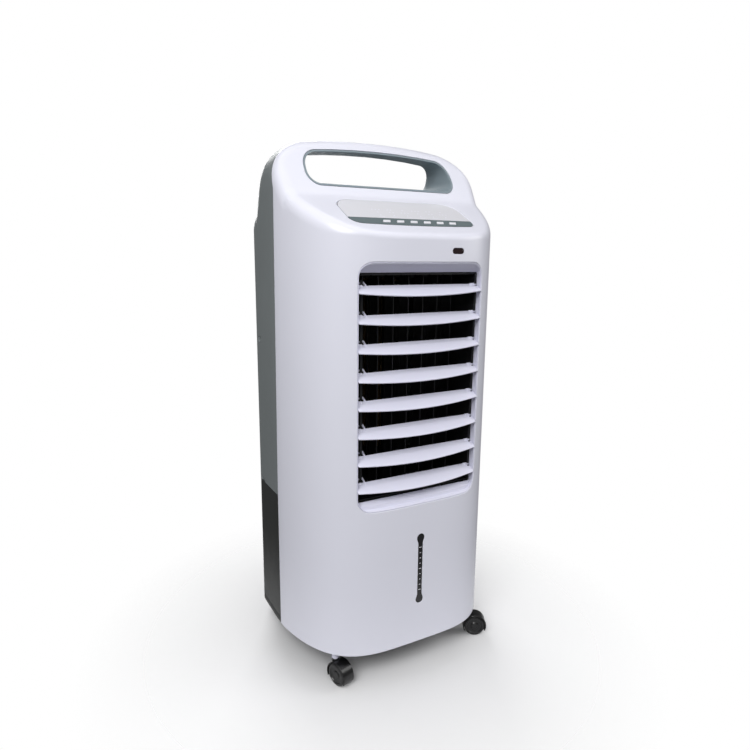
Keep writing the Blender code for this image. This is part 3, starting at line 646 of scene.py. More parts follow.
@dataclass(frozen=True)
class BodyForm:
    """The tower's outer form as one smooth distance field: 0 on the skin and negative inside.

    Its plan is a superellipse in front and chamfered behind, its side view has two slopes up to the
    handle's crest, and its front view a crowned crest between round shoulders. Soft maxima of the
    three round the edges between them.
    """

    front_y: float = -0.130
    back_y: float = 0.130
    half_width: float = 0.1591
    depth: float = 0.3477
    power: float = 3.949
    seam_y: float = -0.005
    side: tuple[float, float] = (0.1512, 0.070)
    back_half: float = 0.108
    bottom_z: float = 0.042
    top_z: float = 0.704
    shoulder_z: float = 0.580
    slope: float = math.radians(27.7)
    cell: float = 0.0036

    def slope_point(self, v: float, n: float = 0.0, x: float = 0.0) -> Vector:
        """A point on the control slope: v up it from the shoulder, n out of it and x across."""
        return Vector((
            x,
            self.front_y + v * math.cos(self.slope) - n * math.sin(self.slope),
            self.shoulder_z + v * math.sin(self.slope) + n * math.cos(self.slope),
        ))

    def profile_line(self) -> Outline:
        """The slopes and the crest in side view, as (y, z) from front to back."""
        bend, far = self.slope_point(0.1040), self.slope_point(-0.2)
        corners = [
            (far.y, far.z), (bend.y, bend.z), (0.0135, 0.7062),
            (0.0263, 0.7062), (0.062, 0.6085), (0.130, 0.580), (0.3, 0.5087),
        ]
        return filleted(corners, [0, 0.030, 0.007, 0.007, 0.030, 0, 0], 1.0)

    def crest_line(self) -> Outline:
        """The crest and its shoulders in front view, as (x, z) from the middle outwards."""
        side, drop = 0.101, 0.0075
        radius = (side**2 + drop**2) / (2 * drop)
        reach = math.asin(side / radius)
        turns = [reach * index / 20 for index in range(20)]
        crown = [(radius * math.sin(turn), self.top_z - radius * (1 - math.cos(turn))) for turn in turns]
        end = (side, self.top_z - drop)
        return crown + filleted([end, (0.156, 0.6872), (0.1561, -1.0)], [0, 0.065, 0], 1.0)

    @staticmethod
    def under(line: Outline, along: np.ndarray, up: np.ndarray) -> np.ndarray:
        """The distance above a line that has one height everywhere.

        Args:
            line: its points in order.
            along: where to look it up.
            up: the height to compare.

        Returns:
            About how far each point is above the line.
        """
        steps, heights = np.array(line).T
        grid = np.linspace(steps[0], steps[-1], 6000)
        height = np.interp(grid, steps, heights)
        lean = np.gradient(height, grid)
        return (up - np.interp(along, grid, height)) / np.hypot(1, np.interp(along, grid, lean))

    @staticmethod
    def soft(first: np.ndarray, second: np.ndarray, reach: float | np.ndarray) -> np.ndarray:
        """The larger of two distances, rounded where they are within reach of each other."""
        near = np.maximum(reach - np.abs(first - second), 0) / reach
        return np.maximum(first, second) + near * near * reach / 4

    def plan(self, x: np.ndarray, y: np.ndarray) -> np.ndarray:
        """The distance outside the outline seen from above."""
        wide = np.abs(x)
        u = wide / self.half_width
        v = np.abs(1 - (y - self.front_y) / self.depth)
        norm = (u**self.power + v**self.power) ** (1 / self.power)
        lean = self.power - 1
        slope = np.hypot((u / norm) ** lean / self.half_width, (v / norm) ** lean / self.depth)
        result = (norm - 1) / slope
        seam_share = 1 - (1 - (self.seam_y - self.front_y) / self.depth) ** self.power
        corners = [
            (self.half_width * seam_share ** (1 / self.power), self.seam_y),
            self.side,
            (self.back_half, self.back_y),
            (0.0, self.back_y),
        ]
        for start, end, reach in zip(corners, corners[1:], (0.003, 0.0042, 0.0085)):
            along = Vector(end) - Vector(start)
            normal = Vector((along.y, -along.x)).normalized()
            result = self.soft(result, (wide - start[0]) * normal.x + (y - start[1]) * normal.y, reach)
        return result

    def distance(self, points: np.ndarray) -> np.ndarray:
        """The distance outside the whole form.

        Args:
            points: an array of points.

        Returns:
            One distance for each.
        """
        x, y, z = points.T
        share = np.clip((np.abs(x) - 0.075) / 0.065, 0, 1)
        sides = share * share * (3 - 2 * share)
        reach = 0.0055 + 0.0115 * sides
        body = self.soft(self.plan(x, y), self.under(self.profile_line(), y, z), reach)
        return self.soft(body, self.under(self.crest_line(), np.abs(x), z), 0.009)

    def normals(self, points: np.ndarray) -> np.ndarray:
        """The outward direction at each point."""
        step = 2e-5
        parts = []
        for axis in range(3):
            shift = np.zeros(3)
            shift[axis] = step
            parts.append(self.distance(points + shift) - self.distance(points - shift))
        lean = np.stack(parts, axis=1)
        return lean / np.linalg.norm(lean, axis=1, keepdims=True)

    def settle(self, points: np.ndarray, rounds: int = 6) -> np.ndarray:
        """Moves points onto the skin along its normals."""
        for _ in range(rounds):
            points = points - self.normals(points) * self.distance(points)[:, None]
        return points

    def crossing(self, outside: np.ndarray, inside: np.ndarray) -> np.ndarray:
        """Where the lines from outside points to inside points meet the skin."""
        low, high = np.zeros(len(outside)), np.ones(len(outside))
        for _ in range(32):
            middle = (low + high) / 2
            out = self.distance(outside + (inside - outside) * middle[:, None]) > 0
            low, high = np.where(out, middle, low), np.where(out, high, middle)
        return outside + (inside - outside) * low[:, None]

    def skin(self) -> bpy.types.Object:
        """The whole skin as an even mesh, open at the bottom.

        Returns:
            An object whose vertices all lie on the form.
        """
        bm = bmesh.new()
        side = [(-0.130, 0.0), (0.130, 0.0), (0.130, 0.576), (0.060, 0.610), (0.030, 0.702),
                (0.008, 0.702), (-0.042, 0.626), (-0.130, 0.578)]
        face = bm.faces.new([bm.verts.new((-0.1515, y, z)) for y, z in side])
        grown_geometry = bmesh.ops.extrude_face_region(bm, geom=[face])["geom"]
        moved = [item for item in grown_geometry if isinstance(item, bmesh.types.BMVert)]
        bmesh.ops.translate(bm, verts=moved, vec=(0.303, 0, 0))
        start = Mould.piece(bm, "skin")
        modifier = start.modifiers.new("Remesh", "REMESH")
        modifier.mode = "VOXEL"
        modifier.voxel_size = self.cell
        Mould.settled(start)
        bm = bmesh.new()
        bm.from_mesh(start.data)
        low = [face for face in bm.faces if face.calc_center_median().z < 0.025]
        bmesh.ops.delete(bm, geom=low, context="FACES")
        for rounds in (6, 4, 4, 4):
            bm.verts.ensure_lookup_table()
            points = self.settle(np.array([vert.co for vert in bm.verts]), rounds)
            for vert, point in zip(bm.verts, points):
                vert.co = point
            inner = [vert for vert in bm.verts if not vert.is_boundary]
            bmesh.ops.smooth_vert(
                bm, verts=inner, factor=0.5, use_axis_x=True, use_axis_y=True, use_axis_z=True
            )
        points = self.settle(np.array([vert.co for vert in bm.verts]), 5)
        for vert, point in zip(bm.verts, points):
            vert.co = point
        bm.to_mesh(start.data)
        bm.free()
        return start

    def polish(self, piece: bpy.types.Object) -> bpy.types.Object:
        """Gives the faces that lie on the form its exact normals, so that no facet shows.

        Args:
            piece: a shell cut from the skin.

        Returns:
            The same piece.
        """
        Mould.smooth(piece, 30.0)
        mesh = piece.data
        points = np.empty(len(mesh.vertices) * 3)
        mesh.vertices.foreach_get("co", points)
        points = points.reshape(-1, 3)
        away = np.abs(self.distance(points)) < 3e-4
        normals = self.normals(points)
        flat = np.empty(len(mesh.polygons) * 3)
        mesh.polygons.foreach_get("normal", flat)
        flat = flat.reshape(-1, 3)
        custom = np.zeros((len(mesh.loops), 3))
        for polygon in mesh.polygons:
            ends = list(polygon.vertices)
            if away[ends].all() and (normals[ends] @ flat[polygon.index]).min() > 0.975:
                custom[list(polygon.loop_indices)] = normals[ends]
        mesh.normals_split_custom_set(custom)
        return piece


@dataclass
class Builder:
    """What every sub-assembly shares: the form, the finishes and the way a piece is handed over."""

    form: BodyForm
    finishes: Finishes

    def dress(
        self, piece: bpy.types.Object, slot: str, body: str, *nodes: str
    ) -> bpy.types.Object:
        """Gives a piece its finish, its body and the nodes that it stands for.

        Args:
            piece: the finished piece.
            slot: the record's material slot.
            body: the body that it rides on.
            nodes: the nodes that it replaces.

        Returns:
            The same piece.
        """
        self.finishes.put_on(piece, slot)
        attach(piece, body)
        if nodes:
            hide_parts(*nodes)
        LOG.info("%s rides on %s, %d faces", piece.name, body, len(piece.data.polygons))
        return piece

    def cast(self, bm: bmesh.types.BMesh, name: str, slot: str, body: str, *nodes: str) -> None:
        """Makes a smooth piece of a bmesh and dresses it.

        Args:
            bm: the bmesh, which is freed.
            name: the piece's name.
            slot: the record's material slot.
            body: the body that it rides on.
            nodes: the nodes that it replaces.
        """
        self.dress(Mould.smooth(Mould.piece(bm, name), 40.0), slot, body, *nodes)

    def lip_rings(
        self, shape: Shape, start: float, end: float, radius: float, floor: float, across: Across = Across.Y
    ) -> list[list[Vector]]:
        """Rings of a cutter that leaves a round edge where it enters the skin.

        Args:
            shape: the opening's outline at a growth.
            start: a height outside the skin.
            end: a height inside it.
            radius: the edge's radius.
            floor: where the cutter ends.
            across: the axis it cuts along.

        Returns:
            Rings from outside to inside.
        """
        rings = []
        for index, (growth, depth) in enumerate(round_edge(radius)):
            flat = shape(growth)
            outside = np.array([placed(point, start, across) for point in flat])
            inside = np.array([placed(point, end, across) for point in flat])
            way = (inside - outside) / np.linalg.norm(inside - outside, axis=1, keepdims=True)
            met = self.form.crossing(outside, inside) + way * depth
            if index == 0:
                rings.append([Vector(point) for point in outside])
            rings.append([Vector(point) for point in met])
        rings.append([placed(point, floor, across) for point in shape(0.0)])
        return rings


# ---------------------------------------------------------------- sub-assemblies


@dataclass
class Shells(Builder):
    """The white front shell and the grey rear shell, each a thin moulding with round-edged openings."""

    wall: float = 0.0025
    edge: float = 0.0009
    seam: tuple[tuple[float, float], ...] = (
        (-0.005, 0.0), (-0.005, 0.25), (-0.0115, 0.635), (0.003, 0.677), (0.014, 0.6905), (0.0165, 0.8),
    )
    rear_low_z: float = 0.2350

    def half(self, skin: bpy.types.Object, name: str, in_front: bool, low: float) -> bpy.types.Object:
        """One side of the seam, given its wall.

        Args:
            skin: the whole skin.
            name: the shell's name.
            in_front: whether to keep the front.
            low: the height it starts at.

        Returns:
            A closed shell.
        """
        bm = bmesh.new()
        bm.from_mesh(skin.data)
        shift = 0.0 if in_front else FIT
        line = [(y + shift, z) for y, z in self.seam]
        for (y, z), (next_y, next_z) in zip(line, line[1:]):
            normal = Vector((0, next_z - z, y - next_y)).normalized()
            span = [face for face in bm.faces if z - 0.01 < face.calc_center_median().z < next_z + 0.01]
            geometry = set(span) | {e for f in span for e in f.edges} | {v for f in span for v in f.verts}
            bmesh.ops.bisect_plane(bm, geom=list(geometry), dist=1e-6, plane_co=(0, y, z), plane_no=normal)
        heights, places = [z for _, z in line], [y for y, _ in line]
        away = []
        for face in bm.faces:
            centre = face.calc_center_median()
            behind = centre.y > np.interp(centre.z, heights, places)
            if behind == in_front:
                away.append(face)
        bmesh.ops.delete(bm, geom=away, context="FACES")
        everything = bm.verts[:] + bm.edges[:] + bm.faces[:]
        bmesh.ops.bisect_plane(
            bm, geom=everything, dist=1e-6, plane_co=(0, 0, low), plane_no=(0, 0, 1), clear_inner=True
        )
        bmesh.ops.remove_doubles(bm, verts=bm.verts, dist=2e-5)
        piece = Mould.piece(bm, name, recalculate=False)
        modifier = piece.modifiers.new("Wall", "SOLIDIFY")
        modifier.thickness = self.wall
        modifier.offset = -1.0
        return Mould.settled(piece)

    def make(self, outlet: "Outlet", handle: "Handle", panel: "Panel", intake: "Intake") -> None:
        """Builds both shells with the openings that the other sub-assemblies ask for."""
        skin = self.form.skin()
        front = self.half(skin, "shell_front", True, self.form.bottom_z)
        cutters = bmesh.new()
        for rings in (
            self.lip_rings(outlet.opening(), -0.16, -0.05, self.edge, -0.06),
            self.lip_rings(panel.window_shape(), -0.16, -0.05, 0.0004, -0.10),
            self.lip_rings(panel.gauge_shape(), -0.16, -0.05, 0.0005, -0.10),
            handle.cutter_rings(self.edge),
            panel.cutter_rings(self.edge),
        ):
            part = Mould.sleeve(rings, capped=True)
            mesh = bpy.data.meshes.new("part")
            part.to_mesh(mesh)
            part.free()
            cutters.from_mesh(mesh)
            bpy.data.meshes.remove(mesh)
        Mould.boolean(front, Mould.piece(cutters, "cutters"), "DIFFERENCE")
        self.form.polish(front)
        self.dress(front, "shell_white", CASING, "front_shell")

        rear = self.half(skin, "shell_rear", False, self.rear_low_z)
        cutters = Mould.sleeve(handle.cutter_rings(self.edge), capped=True)
        Mould.boolean(rear, Mould.piece(cutters, "cutters"), "DIFFERENCE")
        Mould.boolean(rear, Mould.piece(intake.cutter(), "cutters"), "DIFFERENCE")
        self.form.polish(rear)
        self.dress(rear, "rear_grey", CASING, "rear_shell")
        bpy.data.objects.remove(skin)


@dataclass
class Handle(Builder):
    """The hole through the crest and the liner that lines it, narrower behind."""

    front_half: float = 0.110
    rear_half: float = 0.104
    low_z: float = 0.6425
    high_z: float = 0.6875
    arch: float = 0.006
    wall: float = 0.0028
    ends: tuple[float, float] = (-0.060, 0.090)

    def outline(self, half: float, growth: float) -> Outline:
        """The opening at one depth: a flat bottom, round ends and an arched top."""
        top, wide = self.high_z - self.arch, self.front_half
        arch = [(wide * share, self.high_z - self.arch * share**2) for share in (0.6, 0.3, 0.0, -0.3, -0.6)]
        corners = [(-wide, self.low_z), (wide, self.low_z), (wide, top), *arch, (-wide, top)]
        rounds = [0.016, 0.016, 0.020, 0, 0, 0, 0, 0, 0.020]
        outline = densified(filleted(corners, rounds), 0.006)
        return grown([(x * half / wide, z) for x, z in outline], growth)

    def line_ends(self, growth: float) -> tuple[np.ndarray, np.ndarray]:
        """The points of each line through the hole, in front of the body and behind it."""
        front = [placed(point, self.ends[0], Across.Y) for point in self.outline(self.front_half, growth)]
        rear = [placed(point, self.ends[1], Across.Y) for point in self.outline(self.rear_half, growth)]
        return np.array(front), np.array(rear)

    def met(self, growth: float, depth: float, from_front: bool) -> list[Vector]:
        """The ring where the grown outline meets the skin, pushed in by a depth."""
        front, rear = self.line_ends(growth)
        start, end = (front, rear) if from_front else (rear, front)
        middle = start + (end - start) * (0.54 if from_front else 0.46)
        way = (end - start) / np.linalg.norm(end - start, axis=1, keepdims=True)
        return [Vector(point) for point in self.form.crossing(start, middle) + way * depth]

    def cutter_rings(self, edge: float) -> list[list[Vector]]:
        """Rings of the cutter, with a round edge at both faces."""
        outer = self.wall + FIT
        rings = [[Vector(point) for point in self.line_ends(outer + edge)[0]]]
        rings += [self.met(outer + growth, depth, True) for growth, depth in round_edge(edge)]
        rings += [self.met(outer + growth, depth, False) for growth, depth in reversed(round_edge(edge))]
        rings.append([Vector(point) for point in self.line_ends(outer + edge)[1]])
        return rings

    def make(self) -> None:
        """Builds the liner as one closed tube with rounded lips."""
        lip = 0.0012
        sunk = 0.0002
        rim = ((0.0, lip), (lip * 0.3, lip * 0.3), (lip, 0.0))
        outer = [(self.wall - growth, sunk + depth) for growth, depth in rim]
        inner = [(growth, sunk + depth) for growth, depth in round_edge(lip)]
        stages = outer + inner
        front = [self.met(growth, depth, True) for growth, depth in stages]
        rear = [self.met(growth, depth, False) for growth, depth in reversed(stages)]
        last, first = front[-1], rear[0]
        between = [[a.lerp(b, share / 8) for a, b in zip(last, first)] for share in range(1, 8)]
        bm = Mould.sleeve(front + between + rear, closed=True)
        self.cast(bm, "handle_tube", "liner_grey", CASING, "handle_liner")


@dataclass
class Outlet(Builder):
    """The recess with its drafted walls, and the eight tilting louvres."""

    half: float = 0.0895
    low_z: float = 0.240
    high_z: float = 0.548
    radius: float = 0.018
    throat_half: float = 0.0885
    throat_low_z: float = 0.2505
    throat_high_z: float = 0.5355
    throat_y: float = -0.1115
    count: int = 8
    pitch: float = 0.035
    axis_y: float = -0.1100
    top_z: float = 0.519
    tilt: float = math.radians(30.0)
    blade_half: float = 0.0882
    blade_rear_half: float = 0.0845
    chord_middle: float = 0.0222
    chord_end: float = 0.0145
    notch: float = 0.0042
    blade_thickness: float = 0.0017
    pivot_end: float = 0.0880

    def opening(self) -> Shape:
        """The opening's outline at a growth."""
        return oblong(self.half, self.low_z, self.high_z, self.radius)

    def throat(self, growth: float) -> Outline:
        """The throat's outline, with as many points as the opening's, point for point."""
        mouth = self.opening()(0.0)
        middle = (self.low_z + self.high_z) / 2
        throat_middle = (self.throat_low_z + self.throat_high_z) / 2
        result = []
        for x, z in mouth:
            u, w = x / self.half, (z - middle) / ((self.high_z - self.low_z) / 2)
            reach = 1 / max(abs(u), abs(w))
            result.append((
                u * self.throat_half * reach,
                throat_middle + w * (self.throat_high_z - self.throat_low_z) / 2 * reach,
            ))
        return grown(result, growth)

    def make(self) -> None:
        """Builds the bezel and the louvres."""
        self.bezel()
        for index in range(self.count):
            self.louvre(index)

    @staticmethod
    def sill(share: float) -> float:
        """How far the floor of the recess is pushed down at a share of its depth: a groove, then a sill."""
        places = (0.0, 0.10, 0.16, 0.40, 0.46, 0.90, 0.96, 1.0)
        return float(np.interp(share, places, (0.0, 0.0, 0.0020, 0.0020, -0.0012, -0.0012, 0.0, 0.0)))

    def bezel(self) -> None:
        """The recess as one closed moulding: a lip in the mouth, walls to the throat, and their backs."""
        mouth = self.opening()(-FIT)
        start = np.array([placed(point, -0.16, Across.Y) for point in mouth])
        end = np.array([placed(point, -0.05, Across.Y) for point in mouth])
        skin = self.form.crossing(start, end)
        far = self.throat(0.0)
        floor = [min(1.0, max(0.0, (self.low_z + 0.012 - z) / 0.010)) for _, z in mouth]

        def ring(share: float, growth: float, depth: float, sill: bool = True) -> list[Vector]:
            points = []
            for (x, z), (far_x, far_z), met, low in zip(grown(mouth, growth), far, skin, floor):
                y = met[1] + (self.throat_y - met[1]) * share + depth * (1 - share)
                drop = self.sill(share) * low if sill else 0.0
                points.append(Vector((x + (far_x - x) * share, y, z + (far_z - z) * share - drop)))
            return points

        rings = [ring(0.0, 0.0, 0.0010), ring(0.0, -0.0003, 0.0004), ring(0.0, -0.0009, 0.0004)]
        rings += [ring(0.02, -0.0012, 0.0008), ring(0.10, -0.0012, 0.0)]
        deeper = (0.16, 0.28, 0.40, 0.46, 0.68, 0.90, 0.96, 1.0)
        rings += [ring(share, -0.0010 * (1 - share), 0.0) for share in deeper]
        rings += [[Vector((x, self.throat_y, z)) for x, z in self.throat(0.0014)]]
        rings += [ring(share, 0.0034, 0.0030, False) for share in (0.85, 0.50, 0.10)]
        rings += [ring(0.0, 0.0010, 0.0031, False), ring(0.0, 0.0, 0.0030, False)]
        piece = Mould.smooth(Mould.piece(Mould.sleeve(rings, closed=True), "outlet_bezel"), 35.0)
        self.dress(piece, "recess_white", CASING, "grille_bezel")

    def louvre(self, index: int) -> None:
        """One blade: bowed in front, slightly cambered, with its pivots, end tabs and crank.

        Args:
            index: 0 for the top one.
        """
        bm = bmesh.new()
        blade = bmesh.ops.create_grid(bm, x_segments=32, y_segments=10, size=0.5)["verts"]
        for vert in blade:
            across, along = vert.co.x * 2, vert.co.y + 0.5
            chord = self.chord_end + (self.chord_middle - self.chord_end) * (1 - across**2)
            rows = (0.0, 0.8, 0.9, 1.0)
            y = float(np.interp(along, rows, (-chord, -self.notch, -self.notch + 0.0004, 0.0020)))
            half = self.blade_rear_half if along > 0.85 else self.blade_half
            vert.co = (across * half, y, 0.0006 * math.sin(math.pi * along))
        bmesh.ops.recalc_face_normals(bm, faces=bm.faces)
        bmesh.ops.solidify(bm, geom=bm.faces[:], thickness=self.blade_thickness)
        rims = [edge for edge in bm.edges if edge.calc_face_angle(0) > 1.0]
        bmesh.ops.bevel(bm, geom=rims, offset=0.0006, segments=2, profile=0.5, affect="EDGES", material=-1)
        middle = sum((vert.co.z for vert in bm.verts)) / len(bm.verts)
        bmesh.ops.translate(bm, verts=bm.verts, vec=(0, 0, -middle))
        pivot = [
            (0, 0), (0.0013, 0), (0.0015, 0.0003), (0.0015, 0.0032), (0.0021, 0.0032),
            (0.0023, 0.0035), (0.0023, 0.0088), (0.0020, 0.0092), (0, 0.0092),
        ]
        for side in (-1, 1):
            Mould.drum(bm, pivot, (side * self.pivot_end, 0, 0), Vector((-side, 0, 0)), 24)
        Mould.block(bm, (-0.0740, -0.003, -0.0012), (-0.0724, 0.0098, 0.0012), bevel=0.0003)
        Mould.drum(bm, [(0, 0), (0.0012, 0), (0.0012, 0.0060), (0, 0.0060)], (-0.0792, 0.008, 0),
                   Vector((1, 0, 0)), 16)
        place = Vector((0, self.axis_y, self.top_z - self.pitch * index))
        laid = Matrix.Translation(place) @ Matrix.Rotation(self.tilt, 4, "X")
        bmesh.ops.transform(bm, verts=bm.verts, matrix=laid)
        name = f"louvre_{index + 1}"
        self.cast(bm, f"louvre_blade_{index + 1}", "recess_white", name, name)


@dataclass
class Panel(Builder):
    """What is on the front: the overlay, the button strip with its keys, and two windows."""

    half: float = 0.089
    low_v: float = 0.0270
    high_v: float = 0.0930
    bow: float = 0.003
    radius: float = 0.024
    strip_v: float = 0.0425
    keys: int = 6
    first_u: float = -0.0405
    key_pitch: float = 0.0192
    key_v: float = 0.0338
    key_size: tuple[float, float] = (0.0100, 0.0052)
    key_lean: float = 0.45
    window: tuple[float, float] = (0.0445, 0.5615)
    gauge: tuple[float, float] = (0.0986, 0.198)

    def shape(self, growth: float) -> Outline:
        """The whole panel's outline as (u, v) on the slope."""
        share = [index / 8 for index in range(-8, 9)]
        lower = [(self.half * s, self.low_v - self.bow * (1 - s * s)) for s in share]
        corners = [*lower, (self.half, self.high_v), (-self.half, self.high_v)]
        rounds = [self.radius * 0.6, *[0] * 15, self.radius * 0.6, self.radius, self.radius]
        corners[0], corners[16] = (-self.half, self.low_v), (self.half, self.low_v)
        tidy = [corners[0], *corners[3:14], *corners[16:]]
        rounds = [rounds[0], *rounds[3:14], *rounds[16:]]
        return grown(densified(filleted(tidy, rounds), 0.006), growth)

    def lay(self) -> Matrix:
        """Lays slope axes (u, v, n) on the front slope."""
        return Matrix.Translation(self.form.slope_point(0)) @ Matrix.Rotation(self.form.slope, 4, "X")

    def cutter_rings(self, edge: float) -> list[list[Vector]]:
        """Rings of the cutter for the panel's seat."""
        stages = [(0.0004 + edge, 0.012)]
        stages += [(0.0004 + growth, -depth) for growth, depth in round_edge(edge)]
        stages.append((0.0004, -0.006))
        lay = self.lay()
        return [[lay @ Vector((u, v, n)) for u, v in self.shape(growth)] for growth, n in stages]

    def window_shape(self) -> Shape:
        """The infrared window's outline: a short stadium."""
        x, z = self.window
        base = filleted([(x - 0.0085, z - 0.0035), (x + 0.0085, z - 0.0035), (x + 0.0085, z + 0.0035),
                         (x - 0.0085, z + 0.0035)], [0.00345] * 4)
        return lambda growth: grown(base, growth + 0.0002)

    def gauge_shape(self) -> Shape:
        """The water window's outline: a slim slot with wider round ends."""
        low, high = self.gauge
        right = []
        for end, inward in ((low, 1), (high, -1)):
            side = []
            for index in range(9):
                turn = math.radians(90 * index / 8)
                side.append((0.0055 * math.sin(turn), end + inward * 0.0055 * (1 - math.cos(turn))))
            for index in range(1, 9):
                share = index / 8
                fall = share * share * (3 - 2 * share)
                side.append((0.0055 - 0.0021 * fall, end + inward * (0.0055 + 0.0085 * share)))
            right += side if inward > 0 else side[::-1]
        outline = right + [(-x, z) for x, z in reversed(right) if x > 1e-9]
        return lambda growth: grown(densified(outline, 0.006), growth + 0.0002)

    def make(self) -> None:
        """Builds every piece of the front."""
        self.overlay()
        self.strip()
        self.marks()
        for index in range(self.keys):
            self.key(index)
        self.windows()

    def half_plate(self, name: str, above: bool) -> bpy.types.Object:
        """One side of the panel's split, as a plate with a rounded rim."""
        bm = Mould.slab(lambda growth: self.shape(growth - 0.0003), -0.0024, -0.0002, 0.0006)
        level = self.strip_v + (1 if above else -1) * 0.0002
        everything = bm.verts[:] + bm.edges[:] + bm.faces[:]
        cut = bmesh.ops.bisect_plane(
            bm, geom=everything, dist=1e-7, plane_co=(0, level, 0), plane_no=(0, 1, 0),
            clear_inner=above, clear_outer=not above,
        )["geom_cut"]
        bmesh.ops.holes_fill(bm, edges=[item for item in cut if isinstance(item, bmesh.types.BMEdge)])
        bmesh.ops.transform(bm, verts=bm.verts, matrix=self.lay())
        return Mould.piece(bm, name)

    def overlay(self) -> None:
        """The glossy overlay on the upper part."""
        piece = Mould.smooth(self.half_plate("panel_overlay", True), 40.0)
        self.dress(piece, "overlay_white", CASING, "control_overlay")

    def strip(self) -> None:
        """The strip under it, with a slanted slot for each key."""
        piece = self.half_plate("key_strip", False)
        cutters = bmesh.new()
        for index in range(self.keys):
            before = set(cutters.verts)
            width, height = (size / 2 + 0.0003 for size in self.key_size)
            Mould.block(cutters, (-width, -height, -0.01), (width, height, 0.01))
            fresh = [vert for vert in cutters.verts if vert not in before]
            self.slant(fresh)
            bmesh.ops.translate(cutters, verts=fresh, vec=self.key_place(index))
        bmesh.ops.transform(cutters, verts=cutters.verts, matrix=self.lay())
        Mould.boolean(piece, Mould.piece(cutters, "cutters"), "DIFFERENCE")
        self.dress(Mould.smooth(piece, 40.0), "strip_grey", CASING, "button_strip")

    def key_place(self, index: int) -> tuple[float, float, float]:
        """Where a key's middle is, in the panel's own frame."""
        return (self.first_u + self.key_pitch * index, self.key_v, 0)

    def slant(self, verts: Iterable[bmesh.types.BMVert]) -> None:
        """Leans a key's shape to the right."""
        for vert in verts:
            vert.co.x += self.key_lean * vert.co.y

    def key(self, index: int) -> None:
        """One key cap with bevelled edges on a wider foot."""
        bm = bmesh.new()
        width, height = (size / 2 for size in self.key_size)
        Mould.block(bm, (-width, -height, -0.0058), (width, height, 0.0006), bevel=0.0005)
        width, height = width + 0.0005, height + 0.0005
        Mould.block(bm, (-width, -height, -0.0058), (width, height, -0.0046))
        self.slant(bm.verts)
        bmesh.ops.translate(bm, verts=bm.verts, vec=self.key_place(index))
        bmesh.ops.transform(bm, verts=bm.verts, matrix=self.lay())
        name = f"button_{index + 1}"
        self.cast(bm, f"key_{index + 1}", "button_white", name, name)

    def marks(self) -> None:
        """Plain printed marks on the overlay: a lamp over each key, and short bars above them."""
        bm = bmesh.new()
        dot = [(0, 0), (0.0008, 0), (0.0008, 0.00006), (0, 0.00006)]
        for index in range(self.keys):
            u = self.first_u + self.key_pitch * index
            for row, count in ((0.0510, 1), (0.0590, 1 + index % 3), (0.0665, 3 - index % 3)):
                for item in range(count):
                    centre = (u + 0.0048 * (item - (count - 1) / 2), row, -0.00022)
                    Mould.drum(bm, dot, centre, UP, 12)
            Mould.block(bm, (u - 0.0042, 0.0462, -0.00022), (u + 0.0042, 0.0467, -0.00015))
        bmesh.ops.transform(bm, verts=bm.verts, matrix=self.lay())
        self.cast(bm, "panel_marks", "recess_white", CASING)

    def windows(self) -> None:
        """The infrared window, the water window and its scale."""
        shape = self.window_shape()
        bm = Mould.slab(lambda growth: shape(growth - 0.0003), -0.1268, -0.1292, 0.0008, Across.Y)
        self.cast(bm, "receiver_window", "smoked_lens", CASING, "ir_window")
        shape = self.gauge_shape()
        bm = Mould.slab(lambda growth: shape(growth - 0.0003), -0.1277, -0.1296, 0.0005, Across.Y)
        self.cast(bm, "water_window", "window_black", CASING, "level_window")
        bm = bmesh.new()
        for index in range(9):
            z = 0.118 + 0.0076 * index
            reach = 0.0018 if index % 4 == 0 else 0.0011
            Mould.block(bm, (-reach, -0.12968, z - 0.00035), (reach, -0.12958, z + 0.00035))
        self.dress(Mould.smooth(Mould.piece(bm, "water_scale")), "button_white", CASING)


